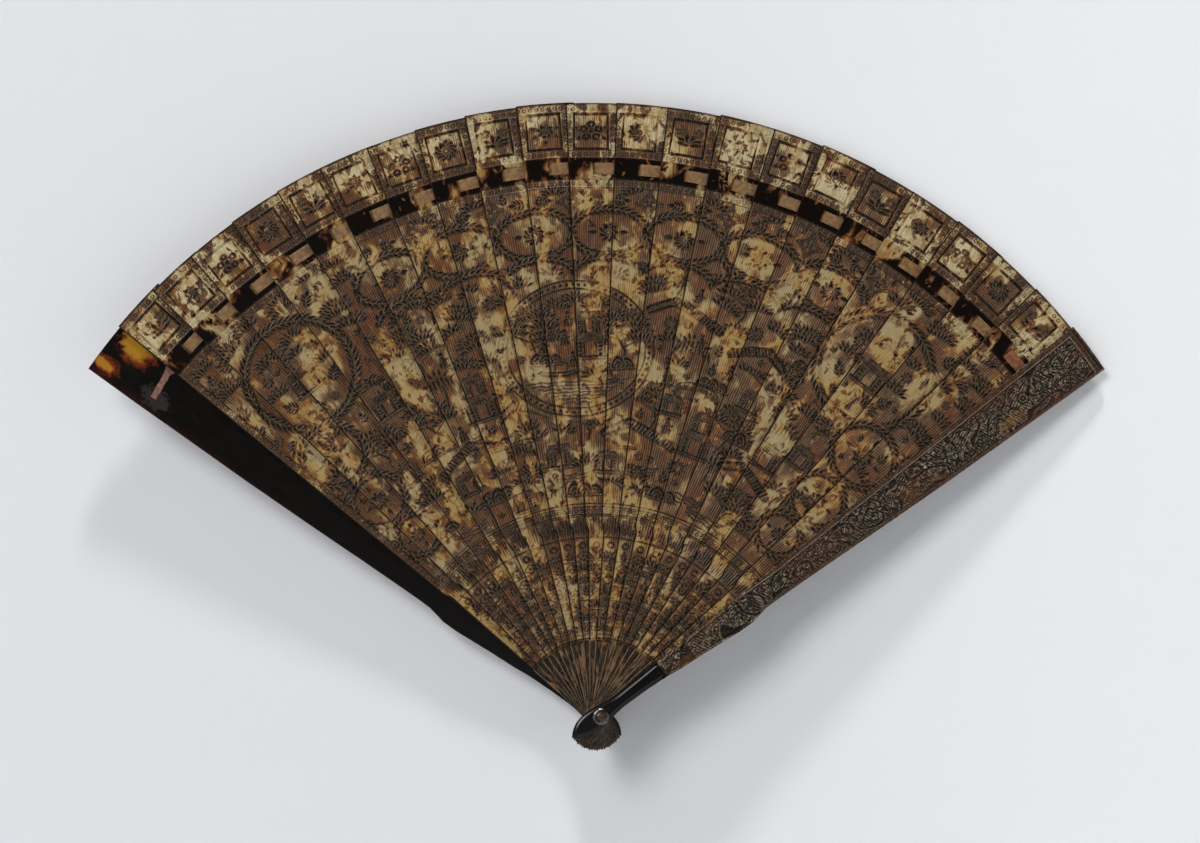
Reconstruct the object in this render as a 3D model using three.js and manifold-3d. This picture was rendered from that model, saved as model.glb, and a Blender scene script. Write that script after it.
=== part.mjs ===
// Brise fan of carved tortoiseshell: twenty one sticks between two guards, all turning on one rivet,
// with a ribbon threaded through a slot in every stick. The fan stands open in the XZ plane with its
// carved front towards -Y and its middle stick upright. The origin is on the rivet's axis, halfway
// through the stack of leaves. Millimetres and degrees.
//
// Every leaf is drawn in its own frame: x runs across it, clockwise round the fan, y runs outwards
// from the rivet, and z runs through the stack towards the front.

import * as THREE from 'three';
import { mergeVertices } from 'three/addons/utils/BufferGeometryUtils.js';
import Module from 'manifold-3d';

const wasm = await Module();
wasm.setup();

// The open fan
const STICK_COUNT = 21;
const PITCH_ANGLE = 4.837;
const RIM_RADIUS = 178;
const GORGE_RADIUS = 55;
const CARVING_START = 21.7;

// Sticks
const STICK_WIDTH = 17;
const STICK_THICKNESS = 0.7;
const STICK_GORGE_WIDTH = 4.9;
const STICK_SHOULDER_WIDTH = 6.6;
const STICK_SHOULDER_RISE = 4;
const STICK_NECK_WIDTH = 4.1;
const STICK_EDGE = 0.12;

// Heads below the rivet
const HEAD_LENGTH = 10.2;
const HEAD_WIDTH = 6.1;
const NECK_RADIUS = 8;

// Guards
const GUARD_WIDTH = 15.4;
const GUARD_THICKNESS = 2;
const GUARD_WAIST_WIDTH = 7.5;
const GUARD_SHOULDER = 4.75;
const GUARD_NECK_WIDTH = 3.9;
const GUARD_SWELL = 3.55;
const GUARD_SHANK_TOP = 3.25;
const GUARD_LEAN = 0.3;
const GUARD_BOW = 0.5;
const GUARD_EDGE = 0.2;
const SHOULDER_RISE = 5.5;
const SHANK_THICKNESS = 1.2;
const SHANK_FACET_WIDTH = 0.8;
const SHANK_FACET_DEPTH = 0.5;

// Carved fields, sunk below the polished front
const FIELD_DEPTH = 0.2;
const GUARD_FIELD_DEPTH = 0.35;
const GUARD_FRAME = 1.5;
const GUARD_GORGE_FRAME = 0.8;
const STICK_SIDE_BORDER = 0.6;
const RIM_BORDER = 2.8;
const PANEL_HEIGHT = 10.6;
const PANEL_WIDTH = 10.4;
const PANEL_LEFT_BORDER = 2.2;
const DOT_BORDER = 2;
const GORGE_BORDER = 3.6;

// Raised flowers in the fields
const PETALS = 8;
const PETAL_NOTCH = 0.62;
const FLOWER_EYE = 0.26;
const FLOWER_SINK = 0.05;
const PANEL_FLOWER_WIDTH = 7.4;
const PANEL_FLOWER_HEIGHT = 5.4;
const GUARD_FLOWER_SHARE = 0.76;
const GUARD_FLOWER_COUNT = 4;
const TIP_LINES = 2;
const TIP_LINE_WIDTH = 0.35;
const TIP_LINE_DEPTH = 0.15;

// Ribbon and the slots it is threaded through
const RIBBON_WIDTH = 3.4;
const RIBBON_THICKNESS = 0.1;
const RIBBON_PLAY = 0.04;
const RIBBON_LEAN = 0.35;
const RIBBON_EDGE_GAP = 0.4;
const RIBBON_GLUE_LENGTH = 1.5;
const SLOT_WIDTH = 1.1;
const SLOT_END_CLEARANCE = 0.25;
const PLAIN_BAND = 6;

// Rivet
const PIN_RADIUS = 1.25;
const PIN_PLAY = 0.08;
const PIN_CHAMFER = 0.2;
const WASHER_RADIUS = 2.4;
const WASHER_HEIGHT = 0.7;
const WASHER_RIM = 0.2;
const WASHER_BORE_HEIGHT = 0.5;
const WASHER_SEAT = 0.05;

// Facets
const CURVE_STEPS = 5;
const SHOULDER_STEPS = 3;
const RIM_STEPS = 6;
const ROUND_SIDES = 24;

const layerGap = 2 * RIBBON_THICKNESS + 3 * RIBBON_PLAY;
const stickStep = STICK_THICKNESS + layerGap;
const stackHeight = 2 * GUARD_THICKNESS + STICK_COUNT * stickStep + layerGap;
const spreadAngle = (STICK_COUNT + 1) * PITCH_ANGLE;
const holeRadius = PIN_RADIUS + PIN_PLAY;
// The ribbon runs in the middle of the plain band, which lies below the panel's lower border.
const ribbonRadius = RIM_RADIUS - 2 * RIM_BORDER - PANEL_HEIGHT - PLAIN_BAND / 2;

const shellColours = [0x5b4636, 0x8d7350, 0x4a3a30, 0x6e563f, 0xa48a5e];

function shellMaterial(colour) {
  return new THREE.MeshStandardMaterial({ color: colour, roughness: 0.35, metalness: 0 });
}

const guardMaterial = shellMaterial(0x2b241f);
const ribbonMaterial = new THREE.MeshStandardMaterial({ color: 0xc09a66, roughness: 0.6, metalness: 0 });
const freshRibbonMaterial = new THREE.MeshStandardMaterial({ color: 0xb5663c, roughness: 0.6, metalness: 0 });
const pinMaterial = new THREE.MeshStandardMaterial({ color: 0x8a6d4c, roughness: 0.45, metalness: 0.9 });
const washerMaterial = new THREE.MeshStandardMaterial({ color: 0x6f6a66, roughness: 0.35, metalness: 0.9 });

// Solids and geometry
function solidOf(geometry) {
  const bare = geometry.clone();
  bare.deleteAttribute('normal');
  bare.deleteAttribute('uv');
  const merged = mergeVertices(bare, 1e-4);
  return new wasm.Manifold(new wasm.Mesh({
    numProp: 3,
    vertProperties: Float32Array.from(merged.attributes.position.array),
    triVerts: Uint32Array.from(merged.index.array),
  }));
}

function geometryOf(solid) {
  const mesh = solid.getMesh();
  const geometry = new THREE.BufferGeometry();
  geometry.setAttribute('position', new THREE.BufferAttribute(mesh.vertProperties, 3));
  geometry.setIndex(new THREE.BufferAttribute(mesh.triVerts, 1));
  geometry.computeVertexNormals();
  return geometry;
}

function block(xLow, xHigh, yLow, yHigh, zLow, zHigh) {
  const box = new THREE.BoxGeometry(xHigh - xLow, yHigh - yLow, zHigh - zLow);
  box.translate((xLow + xHigh) / 2, (yLow + yHigh) / 2, (zLow + zHigh) / 2);
  return solidOf(box);
}

// A flat shape made into a plate from zLow to zHigh.
function plate(points, zLow, zHigh) {
  const geometry = new THREE.ExtrudeGeometry(new THREE.Shape(points), {
    depth: zHigh - zLow,
    bevelEnabled: false,
  });
  geometry.translate(0, 0, zLow);
  return solidOf(geometry);
}

// A plate whose two faces have a sloping edge, edgeWidth wide and edgeDepth deep.
function edgedPlate(points, zLow, zHigh, edgeWidth, edgeDepth) {
  const geometry = new THREE.ExtrudeGeometry(new THREE.Shape(points), {
    depth: zHigh - zLow - 2 * edgeDepth,
    bevelEnabled: true,
    bevelThickness: edgeDepth,
    bevelSize: edgeWidth,
    bevelOffset: -edgeWidth,
    bevelSegments: 1,
  });
  geometry.translate(0, 0, zLow + edgeDepth);
  return solidOf(geometry);
}

function pinHole() {
  const hole = new THREE.CylinderGeometry(holeRadius, holeRadius, 2 * stackHeight, ROUND_SIDES);
  hole.rotateX(Math.PI / 2);
  return solidOf(hole);
}

// Outlines. An edge is one side of a leaf from the tip of its head to its corner at the rim: x is the
// half width there and y the distance from the rivet.
function headEdge(half, neckHalf) {
  const path = new THREE.Path();
  path.moveTo(0, -HEAD_LENGTH);
  path.bezierCurveTo(0.3 * half, -0.92 * HEAD_LENGTH, half, -0.72 * HEAD_LENGTH, half, -0.3 * HEAD_LENGTH);
  path.bezierCurveTo(half, 0.25 * NECK_RADIUS, neckHalf, 0.5 * NECK_RADIUS, neckHalf, NECK_RADIUS);
  return path;
}

function rimCorner(halfWidth) {
  return new THREE.Vector2(halfWidth, Math.sqrt(RIM_RADIUS ** 2 - halfWidth ** 2));
}

function stickEdge() {
  const points = headEdge(HEAD_WIDTH / 2, STICK_NECK_WIDTH / 2).getPoints(CURVE_STEPS);
  for (let step = 0; step <= SHOULDER_STEPS; step++) {
    const share = step / SHOULDER_STEPS;
    const widening = THREE.MathUtils.smoothstep(share, 0, 1);
    const width = STICK_GORGE_WIDTH + (STICK_SHOULDER_WIDTH - STICK_GORGE_WIDTH) * widening;
    points.push(new THREE.Vector2(width / 2, GORGE_RADIUS + (share - 0.5) * STICK_SHOULDER_RISE));
  }
  points.push(rimCorner(STICK_WIDTH / 2));
  return points;
}

// The guard's outer edge swells to a shoulder at the gorge, steps in to the waist and bows out to the rim.
function guardOuterEdge() {
  const path = headEdge(HEAD_WIDTH / 2 - GUARD_LEAN, GUARD_NECK_WIDTH / 2 - GUARD_LEAN / 2);
  const waist = GUARD_WAIST_WIDTH / 2;
  const shoulderRadius = GORGE_RADIUS - SHOULDER_RISE / 2;
  const waistRadius = GORGE_RADIUS + SHOULDER_RISE / 2;
  const corner = rimCorner(GUARD_WIDTH / 2);
  path.quadraticCurveTo(
    GUARD_NECK_WIDTH / 2, CARVING_START,
    GUARD_SWELL, (CARVING_START + shoulderRadius) / 2,
  );
  path.quadraticCurveTo(GUARD_SHOULDER, shoulderRadius - SHOULDER_RISE, GUARD_SHOULDER, shoulderRadius);
  path.bezierCurveTo(
    GUARD_SHOULDER, shoulderRadius + SHOULDER_RISE / 2,
    waist, waistRadius - SHOULDER_RISE / 2,
    waist, waistRadius,
  );
  path.quadraticCurveTo(
    (waist + corner.x) / 2 + 2 * GUARD_BOW, (waistRadius + corner.y) / 2,
    corner.x, corner.y,
  );
  return path.getPoints(CURVE_STEPS);
}

// The inner edge has only a soft shoulder.
function guardInnerEdge() {
  const path = headEdge(HEAD_WIDTH / 2 + GUARD_LEAN, GUARD_NECK_WIDTH / 2 + GUARD_LEAN / 2);
  const waist = GUARD_WAIST_WIDTH / 2;
  const shankTop = GORGE_RADIUS - 2 * SHOULDER_RISE;
  const corner = rimCorner(GUARD_WIDTH / 2);
  path.lineTo(GUARD_SHANK_TOP, shankTop);
  path.quadraticCurveTo(GUARD_SHANK_TOP, GORGE_RADIUS - SHOULDER_RISE, waist, GORGE_RADIUS);
  path.lineTo(corner.x, corner.y);
  return path.getPoints(CURVE_STEPS);
}

function leafOutline(rightEdge, leftEdge) {
  const rightCorner = rightEdge[rightEdge.length - 1];
  const leftCorner = leftEdge[leftEdge.length - 1];
  const rightAngle = Math.atan2(rightCorner.y, rightCorner.x);
  const leftAngle = Math.atan2(leftCorner.y, -leftCorner.x);
  const rim = [];
  for (let step = 1; step < RIM_STEPS; step++) {
    const angle = rightAngle + (leftAngle - rightAngle) * step / RIM_STEPS;
    rim.push(new THREE.Vector2(RIM_RADIUS * Math.cos(angle), RIM_RADIUS * Math.sin(angle)));
  }
  const left = leftEdge.slice(1).reverse().map((p) => new THREE.Vector2(-p.x, p.y));
  return [...rightEdge, ...rim, ...left];
}

// The half width of an edge at a distance from the rivet.
function halfWidthAt(edge, radius) {
  const next = edge.findIndex((p) => p.y >= radius);
  const low = edge[next - 1];
  const high = edge[next];
  return low.x + (high.x - low.x) * (radius - low.y) / (high.y - low.y);
}

// A field between two distances from the rivet that keeps a border inside both edges.
function fieldOutline(rightEdge, leftEdge, fromRadius, toRadius, border, steps) {
  const right = [];
  const left = [];
  for (let step = 0; step <= steps; step++) {
    const radius = fromRadius + (toRadius - fromRadius) * step / steps;
    right.push(new THREE.Vector2(halfWidthAt(rightEdge, radius) - border, radius));
    left.unshift(new THREE.Vector2(border - halfWidthAt(leftEdge, radius), radius));
  }
  return [...right, ...left];
}

// A flower left standing in a field: notched petals round an eye, from the field's floor to its top.
function flower(x, y, halfWidth, halfHeight, floor, top) {
  const petals = [];
  const eye = [];
  for (let petal = 0; petal < PETALS; petal++) {
    const angle = 2 * Math.PI * petal / PETALS;
    const notch = angle + Math.PI / PETALS;
    petals.push(
      new THREE.Vector2(x + halfWidth * Math.sin(angle), y + halfHeight * Math.cos(angle)),
      new THREE.Vector2(
        x + PETAL_NOTCH * halfWidth * Math.sin(notch),
        y + PETAL_NOTCH * halfHeight * Math.cos(notch),
      ),
    );
    eye.push(new THREE.Vector2(
      x + FLOWER_EYE * halfHeight * Math.sin(angle),
      y + FLOWER_EYE * halfHeight * Math.cos(angle),
    ));
  }
  return plate(petals, floor - FLOWER_SINK, top).subtract(plate(eye, floor, 2 * top));
}

// One stick: wedge blade, shouldered gorge and narrow shank, pointed head, ribbon slot and three carved
// fields that lie below the polished borders: the square panel at the rim with its flower, the main
// field and the gorge.
function stickGeometry() {
  const edge = stickEdge();
  const front = STICK_THICKNESS;
  const above = 2 * front;
  const panelTop = RIM_RADIUS - RIM_BORDER;
  const panelLeft = PANEL_LEFT_BORDER - STICK_WIDTH / 2;
  const bandFoot = ribbonRadius - PLAIN_BAND / 2;
  const slotHalf = RIBBON_WIDTH / 2 + SLOT_END_CLEARANCE;
  const fieldFloor = front - FIELD_DEPTH;
  const panel = block(
    panelLeft, panelLeft + PANEL_WIDTH,
    panelTop - PANEL_HEIGHT, panelTop,
    fieldFloor, above,
  );
  const main = plate(
    fieldOutline(edge, edge, GORGE_RADIUS + GORGE_BORDER, bandFoot - DOT_BORDER, STICK_SIDE_BORDER, 1),
    fieldFloor, above,
  );
  const gorge = plate(
    fieldOutline(edge, edge, CARVING_START, GORGE_RADIUS - DOT_BORDER, STICK_SIDE_BORDER, 1),
    fieldFloor, above,
  );
  const slot = block(
    -SLOT_WIDTH / 2, SLOT_WIDTH / 2,
    ribbonRadius - slotHalf, ribbonRadius + slotHalf,
    -above, above,
  );
  const panelFlower = flower(
    panelLeft + PANEL_WIDTH / 2, panelTop - PANEL_HEIGHT / 2,
    PANEL_FLOWER_WIDTH / 2, PANEL_FLOWER_HEIGHT / 2,
    fieldFloor, front,
  );
  const blank = edgedPlate(leafOutline(edge, edge), 0, front, STICK_EDGE, STICK_EDGE);
  return geometryOf(
    blank.subtract(pinHole()).subtract(slot).subtract(panel).subtract(main).subtract(gorge).add(panelFlower),
  );
}

// A guard, drawn as the front one: the blade is thick and framed, with flowers in its field and fine cut
// lines at its tip. The shank and head are thinner, plain and bevelled, so that the rivet's washer stays
// below the blade's face.
function guardGeometry() {
  const outer = guardOuterEdge();
  const inner = guardInnerEdge();
  const outline = leafOutline(outer, inner);
  const reach = 2 * GUARD_WIDTH;
  const blade = edgedPlate(outline, -GUARD_THICKNESS, GUARD_THICKNESS, GUARD_EDGE, GUARD_EDGE)
    .intersect(block(-reach, reach, CARVING_START, 2 * RIM_RADIUS, 0, reach));
  const shank = edgedPlate(outline, -SHANK_THICKNESS, SHANK_THICKNESS, SHANK_FACET_WIDTH, SHANK_FACET_DEPTH)
    .intersect(block(-reach, reach, -2 * HEAD_LENGTH, CARVING_START + GUARD_EDGE, 0, reach));
  const floor = GUARD_THICKNESS - GUARD_FIELD_DEPTH;
  const bladeField = plate(
    fieldOutline(outer, inner, GORGE_RADIUS + GORGE_BORDER, RIM_RADIUS - RIM_BORDER, GUARD_FRAME, 6),
    floor, reach,
  );
  const gorgeField = plate(
    fieldOutline(outer, inner, CARVING_START + DOT_BORDER, GORGE_RADIUS - DOT_BORDER, GUARD_GORGE_FRAME, 4),
    floor, reach,
  );
  let guard = blade.add(shank).subtract(pinHole()).subtract(bladeField).subtract(gorgeField);
  for (let number = 1; number <= GUARD_FLOWER_COUNT; number++) {
    const radius = GORGE_RADIUS + (RIM_RADIUS - GORGE_RADIUS) * number / (GUARD_FLOWER_COUNT + 1);
    const right = halfWidthAt(outer, radius) - GUARD_FRAME;
    const left = halfWidthAt(inner, radius) - GUARD_FRAME;
    const half = GUARD_FLOWER_SHARE * (right + left) / 2;
    guard = guard.add(flower((right - left) / 2, radius, half, half, floor, GUARD_THICKNESS));
  }
  for (let line = 1; line <= TIP_LINES; line++) {
    const radius = RIM_RADIUS - RIM_BORDER * line / (TIP_LINES + 1);
    const half = TIP_LINE_WIDTH / 2;
    guard = guard.subtract(block(
      GUARD_FRAME / 2 - halfWidthAt(inner, radius), halfWidthAt(outer, radius) - GUARD_FRAME / 2,
      radius - half, radius + half,
      GUARD_THICKNESS - TIP_LINE_DEPTH, reach,
    ));
  }
  return geometryOf(guard);
}

// Ribbon pieces are drawn as a thin profile in x and z, and made RIBBON_WIDTH wide along the stick.
function ribbonGeometry(profile) {
  const geometry = new THREE.ExtrudeGeometry(new THREE.Shape(profile), {
    depth: RIBBON_WIDTH,
    bevelEnabled: false,
  });
  geometry.rotateX(Math.PI / 2);
  geometry.translate(0, ribbonRadius + RIBBON_WIDTH / 2, 0);
  return geometryOf(solidOf(geometry));
}

const ribbonReach = halfWidthAt(stickEdge(), ribbonRadius) - RIBBON_EDGE_GAP;

// Behind the left half of a stick, up through its slot and over its right half.
function stickRibbonGeometry() {
  const backTop = -RIBBON_PLAY;
  const backLow = backTop - RIBBON_THICKNESS;
  const frontLow = STICK_THICKNESS + RIBBON_PLAY;
  const frontTop = frontLow + RIBBON_THICKNESS;
  const lean = RIBBON_LEAN;
  const shift = RIBBON_THICKNESS;
  return ribbonGeometry([
    new THREE.Vector2(-ribbonReach, backLow),
    new THREE.Vector2(-lean, backLow),
    new THREE.Vector2(lean, frontLow),
    new THREE.Vector2(ribbonReach, frontLow),
    new THREE.Vector2(ribbonReach, frontTop),
    new THREE.Vector2(lean - shift, frontTop),
    new THREE.Vector2(-lean - shift, backTop),
    new THREE.Vector2(-ribbonReach, backTop),
  ]);
}

function flatRibbonGeometry(xLow, xHigh, zLow) {
  return ribbonGeometry([
    new THREE.Vector2(xLow, zLow),
    new THREE.Vector2(xHigh, zLow),
    new THREE.Vector2(xHigh, zLow + RIBBON_THICKNESS),
    new THREE.Vector2(xLow, zLow + RIBBON_THICKNESS),
  ]);
}

// A turned piece whose profile runs along the rivet's axis.
function turned(profile) {
  const geometry = new THREE.LatheGeometry(profile.map(([r, h]) => new THREE.Vector2(r, h)), ROUND_SIDES);
  geometry.rotateX(Math.PI / 2);
  return geometryOf(solidOf(geometry));
}

const seatHeight = stackHeight / 2 - (GUARD_THICKNESS - SHANK_THICKNESS) + WASHER_SEAT;
const pinHalf = seatHeight + WASHER_HEIGHT;

function pinGeometry() {
  return turned([
    [0, -pinHalf],
    [PIN_RADIUS - PIN_CHAMFER, -pinHalf],
    [PIN_RADIUS, PIN_CHAMFER - pinHalf],
    [PIN_RADIUS, pinHalf - PIN_CHAMFER],
    [PIN_RADIUS - PIN_CHAMFER, pinHalf],
    [0, pinHalf],
  ]);
}

// A domed ring with its flat side at height 0.
function washerGeometry() {
  const crown = (holeRadius + WASHER_RADIUS) / 2;
  const dome = WASHER_HEIGHT - WASHER_RIM;
  const profile = [[holeRadius, 0], [WASHER_RADIUS, 0], [WASHER_RADIUS, WASHER_RIM]];
  for (let step = 1; step <= CURVE_STEPS; step++) {
    const turn = Math.PI / 2 * step / CURVE_STEPS;
    const radius = crown + (WASHER_RADIUS - crown) * Math.cos(turn);
    profile.push([radius, WASHER_RIM + dome * Math.sin(turn)]);
  }
  profile.push([holeRadius, WASHER_BORE_HEIGHT], [holeRadius, 0]);
  return turned(profile);
}

// The assembly. Leaves are numbered from the back guard, at the left, to the front guard, at the right.
const fan = new THREE.Group();
fan.rotation.x = Math.PI / 2;

function addPiece(parent, name, geometry, material) {
  const mesh = new THREE.Mesh(geometry, material);
  mesh.name = name;
  parent.add(mesh);
  return mesh;
}

// A group that stands at a leaf's place in the spread and at its height in the stack.
function leafPlace(number, height) {
  const place = new THREE.Group();
  place.rotation.z = THREE.MathUtils.degToRad(spreadAngle / 2 - number * PITCH_ANGLE);
  place.position.z = height;
  fan.add(place);
  return place;
}

const guardShape = guardGeometry();
const stickShape = stickGeometry();
const stickRibbonShape = stickRibbonGeometry();
const backHeight = -stackHeight / 2;
const frontHeight = stackHeight / 2;

const backPlace = leafPlace(0, backHeight + GUARD_THICKNESS);
addPiece(backPlace, 'guard_back', guardShape, guardMaterial).rotation.y = Math.PI;
addPiece(
  backPlace, 'ribbon_end_back',
  flatRibbonGeometry(-RIBBON_GLUE_LENGTH, ribbonReach, RIBBON_PLAY), ribbonMaterial,
);

for (let number = 1; number <= STICK_COUNT; number++) {
  const label = String(number).padStart(2, '0');
  const height = backHeight + GUARD_THICKNESS + layerGap + (number - 1) * stickStep;
  const place = leafPlace(number, height);
  const colour = shellColours[(number * 3) % shellColours.length];
  const last = number === STICK_COUNT;
  addPiece(place, `stick_${label}`, stickShape, shellMaterial(colour));
  addPiece(place, `ribbon_${label}`, stickRibbonShape, last ? freshRibbonMaterial : ribbonMaterial);
}

const frontPlace = leafPlace(STICK_COUNT + 1, frontHeight - GUARD_THICKNESS);
addPiece(frontPlace, 'guard_front', guardShape, guardMaterial);
addPiece(
  frontPlace, 'ribbon_end_front',
  flatRibbonGeometry(-ribbonReach, RIBBON_GLUE_LENGTH, -RIBBON_PLAY - RIBBON_THICKNESS), freshRibbonMaterial,
);

addPiece(fan, 'rivet_pin', pinGeometry(), pinMaterial);
const washerShape = washerGeometry();
addPiece(fan, 'rivet_washer_front', washerShape, washerMaterial).position.z = seatHeight;
const backWasher = addPiece(fan, 'rivet_washer_back', washerShape, washerMaterial);
backWasher.position.z = -seatHeight;
backWasher.rotation.y = Math.PI;

export default fan;
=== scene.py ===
import math

import bpy
import numpy as np
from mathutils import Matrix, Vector
from mathutils.geometry import delaunay_2d_cdt


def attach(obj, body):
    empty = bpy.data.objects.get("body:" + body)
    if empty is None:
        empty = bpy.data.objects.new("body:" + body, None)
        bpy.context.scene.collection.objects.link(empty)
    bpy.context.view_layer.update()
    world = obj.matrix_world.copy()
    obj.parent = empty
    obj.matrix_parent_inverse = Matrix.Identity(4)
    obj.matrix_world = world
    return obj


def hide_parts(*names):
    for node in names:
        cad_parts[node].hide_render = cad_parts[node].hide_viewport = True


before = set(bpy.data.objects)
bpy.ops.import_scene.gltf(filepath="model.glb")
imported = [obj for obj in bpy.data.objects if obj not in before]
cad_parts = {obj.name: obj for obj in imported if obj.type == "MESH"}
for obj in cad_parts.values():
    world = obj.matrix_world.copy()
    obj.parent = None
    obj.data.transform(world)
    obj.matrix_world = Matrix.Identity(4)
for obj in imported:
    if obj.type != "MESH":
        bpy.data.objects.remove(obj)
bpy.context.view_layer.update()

# Sizes in millimetres and degrees, the same as in the part's source
MM = 0.001
STICKS = 21
PITCH = 4.837
FIRST_ANGLE = -(STICKS + 1) * PITCH / 2
RIM = 178.0
GORGE = 55.0
CARVING_START = 21.7
STICK_HALF = 8.5
SHOULDER_RISE = 4.0
SHOULDER_HALF = 3.3
GORGE_HALF = 2.45
NECK_RADIUS = 8.0
NECK_HALF = 2.05
HEAD_LENGTH = 10.2
HEAD_HALF = 3.05
HEAD_LEAN = 0.3
HEAD_SLIMMING = (0.7, 0.84, 0.94)
TIP_UNEVEN = 0.17
TIP_SHARES = (1.0, 0.6, 0.2)
THICK = 0.7
EDGE = 0.12
DEPTH = 0.2
STEP = 1.02
FIRST_STICK = -(STICKS - 1) / 2 * STEP - THICK / 2
GUARD_INNER = STEP - THICK - FIRST_STICK
GUARD_THICK = 2.0
SHANK_THICK = 1.2
GUARD_DEPTH = 0.35
GUARD_EDGE = 0.2
GUARD_UNDER_EDGE = 0.15
RIBBON_WIDTH = 3.4
RIBBON_REACH = 7.19
RIBBON_HALF = 0.045
RIBBON_LIFT = 0.09
SLOT_HALF = 0.55
SLOT_REACH = 1.735
HOLE = 1.33
PIN = 1.25
SEAT = GUARD_INNER + SHANK_THICK + 0.05
PIN_HALF = SEAT + 0.7
WASHER = 2.4

# The parts of a stick's front as distances from the rivet, from the gorge to the rim. The mesh of the field
# is finer across from FINER outwards
GORGE_ROW = (58.2, 60.6)
FIELD_START = 60.0
FINER = 106.0
FIELD_END = 153.4
BAND = (155.8, 161.8)
PANEL = (164.5, 175.1)
RIM_ROW_END = 177.7
RIBBON_RADIUS = sum(BAND) / 2
PANEL_SIDES = (-6.3, 4.15)
# Fine raised lines: distance from the rivet and width
FINE_LINES = ((61.4, 0.36), (57.8, 0.4), (51.6, 0.32), (45.0, 0.3), (33.5, 0.32), (22.4, 0.4))
# Rows of small rings on sunk strips between two lines: start, end and pitch
RING_PITCH = 1.78
RING_ROWS = ((*GORGE_ROW, 1.6), (FIELD_END, BAND[0], RING_PITCH), (BAND[1], PANEL[0], RING_PITCH),
             (PANEL[1], RIM_ROW_END, RING_PITCH))
RING_RADIUS, RING_LINE = 0.46, 0.28
STRIP = 0.08
ROW_LINE = 0.34

# A guard's outline as half widths at distances from the rivet, on the side of the gorge's shoulder (1) and on
# the plain side (-1)
GUARD_HALVES = {
    1: ((8, 1.8), (14, 1.9), (21.7, 2.25), (27, 2.9), (34, 3.4), (41, 4.06), (47, 4.62), (51.6, 4.7),
        (54, 4.25), (57, 3.78), (61, 3.78), (69, 4.06), (79.5, 4.5), (90, 5.0), (100, 5.45),
        (111, 5.9), (121, 6.3), (132, 6.6), (142, 6.85), (152, 7.15), (163, 7.45), (178, 7.7)),
    -1: ((8, 2.1), (14, 2.3), (21.7, 2.6), (34, 2.95), (44, 3.25), (49.5, 3.3), (55, 3.75), (178, 7.7)),
}
# The rounded slope along the edges of a guard's shank and head, as insets and drops
SLOPE = ((0, 0.53), (0.06, 0.47), (0.25, 0.35), (0.45, 0.24), (0.65, 0.15), (0.85, 0.075), (1.05, 0.025),
         (1.3, 0.0))

# How far each stick stands from even spacing and from the common rim, as the photo shows it
TURNS = (0.22, -0.04, -0.13, 0.05, 0.3, 0.02, -0.06, -0.12, -0.1, -0.04, -0.24, -0.3, -0.3, -0.13, 0.23,
         0.2, 0.2, -0.02, 0.2, 0.17, 0.19)
REACHES = (0.4, -0.25, -0.45, -0.2, 0.0, -0.12, -0.3, -0.1, 0.2, 0.42, 0.05, 0.1, 0.02, 0.35, 0.2, 0.45,
           -0.05, -0.2, 0.0, -0.4, -0.25)

CELL = 0.21
COLUMNS = 25
GUARD_COLUMNS = 84
RIBBON_CELLS = ((40, 18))
ROUND_STEPS = 24


def angle_of(leaf):
    """The leaf's turn from upright, clockwise from the front, in degrees."""
    return FIRST_ANGLE + PITCH * leaf


def height_of(leaf):
    """How far the back of a stick is in front of the stack's middle."""
    return FIRST_STICK + STEP * (leaf - 1)


def eased(t):
    """0 to 1 with a soft start and end."""
    t = np.clip(t, 0, 1)
    return t * t * (3 - 2 * t)


def around(radius, turn, rv=None):
    """The point of a circle, or of an oval rv high, at a turn clockwise from upright."""
    a = math.radians(turn)
    return radius * math.sin(a), (radius if rv is None else rv) * math.cos(a)


# Relief painted as a height map
SOFT = 0.2
GROOVE = 0.2
VEIN = 0.6


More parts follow.
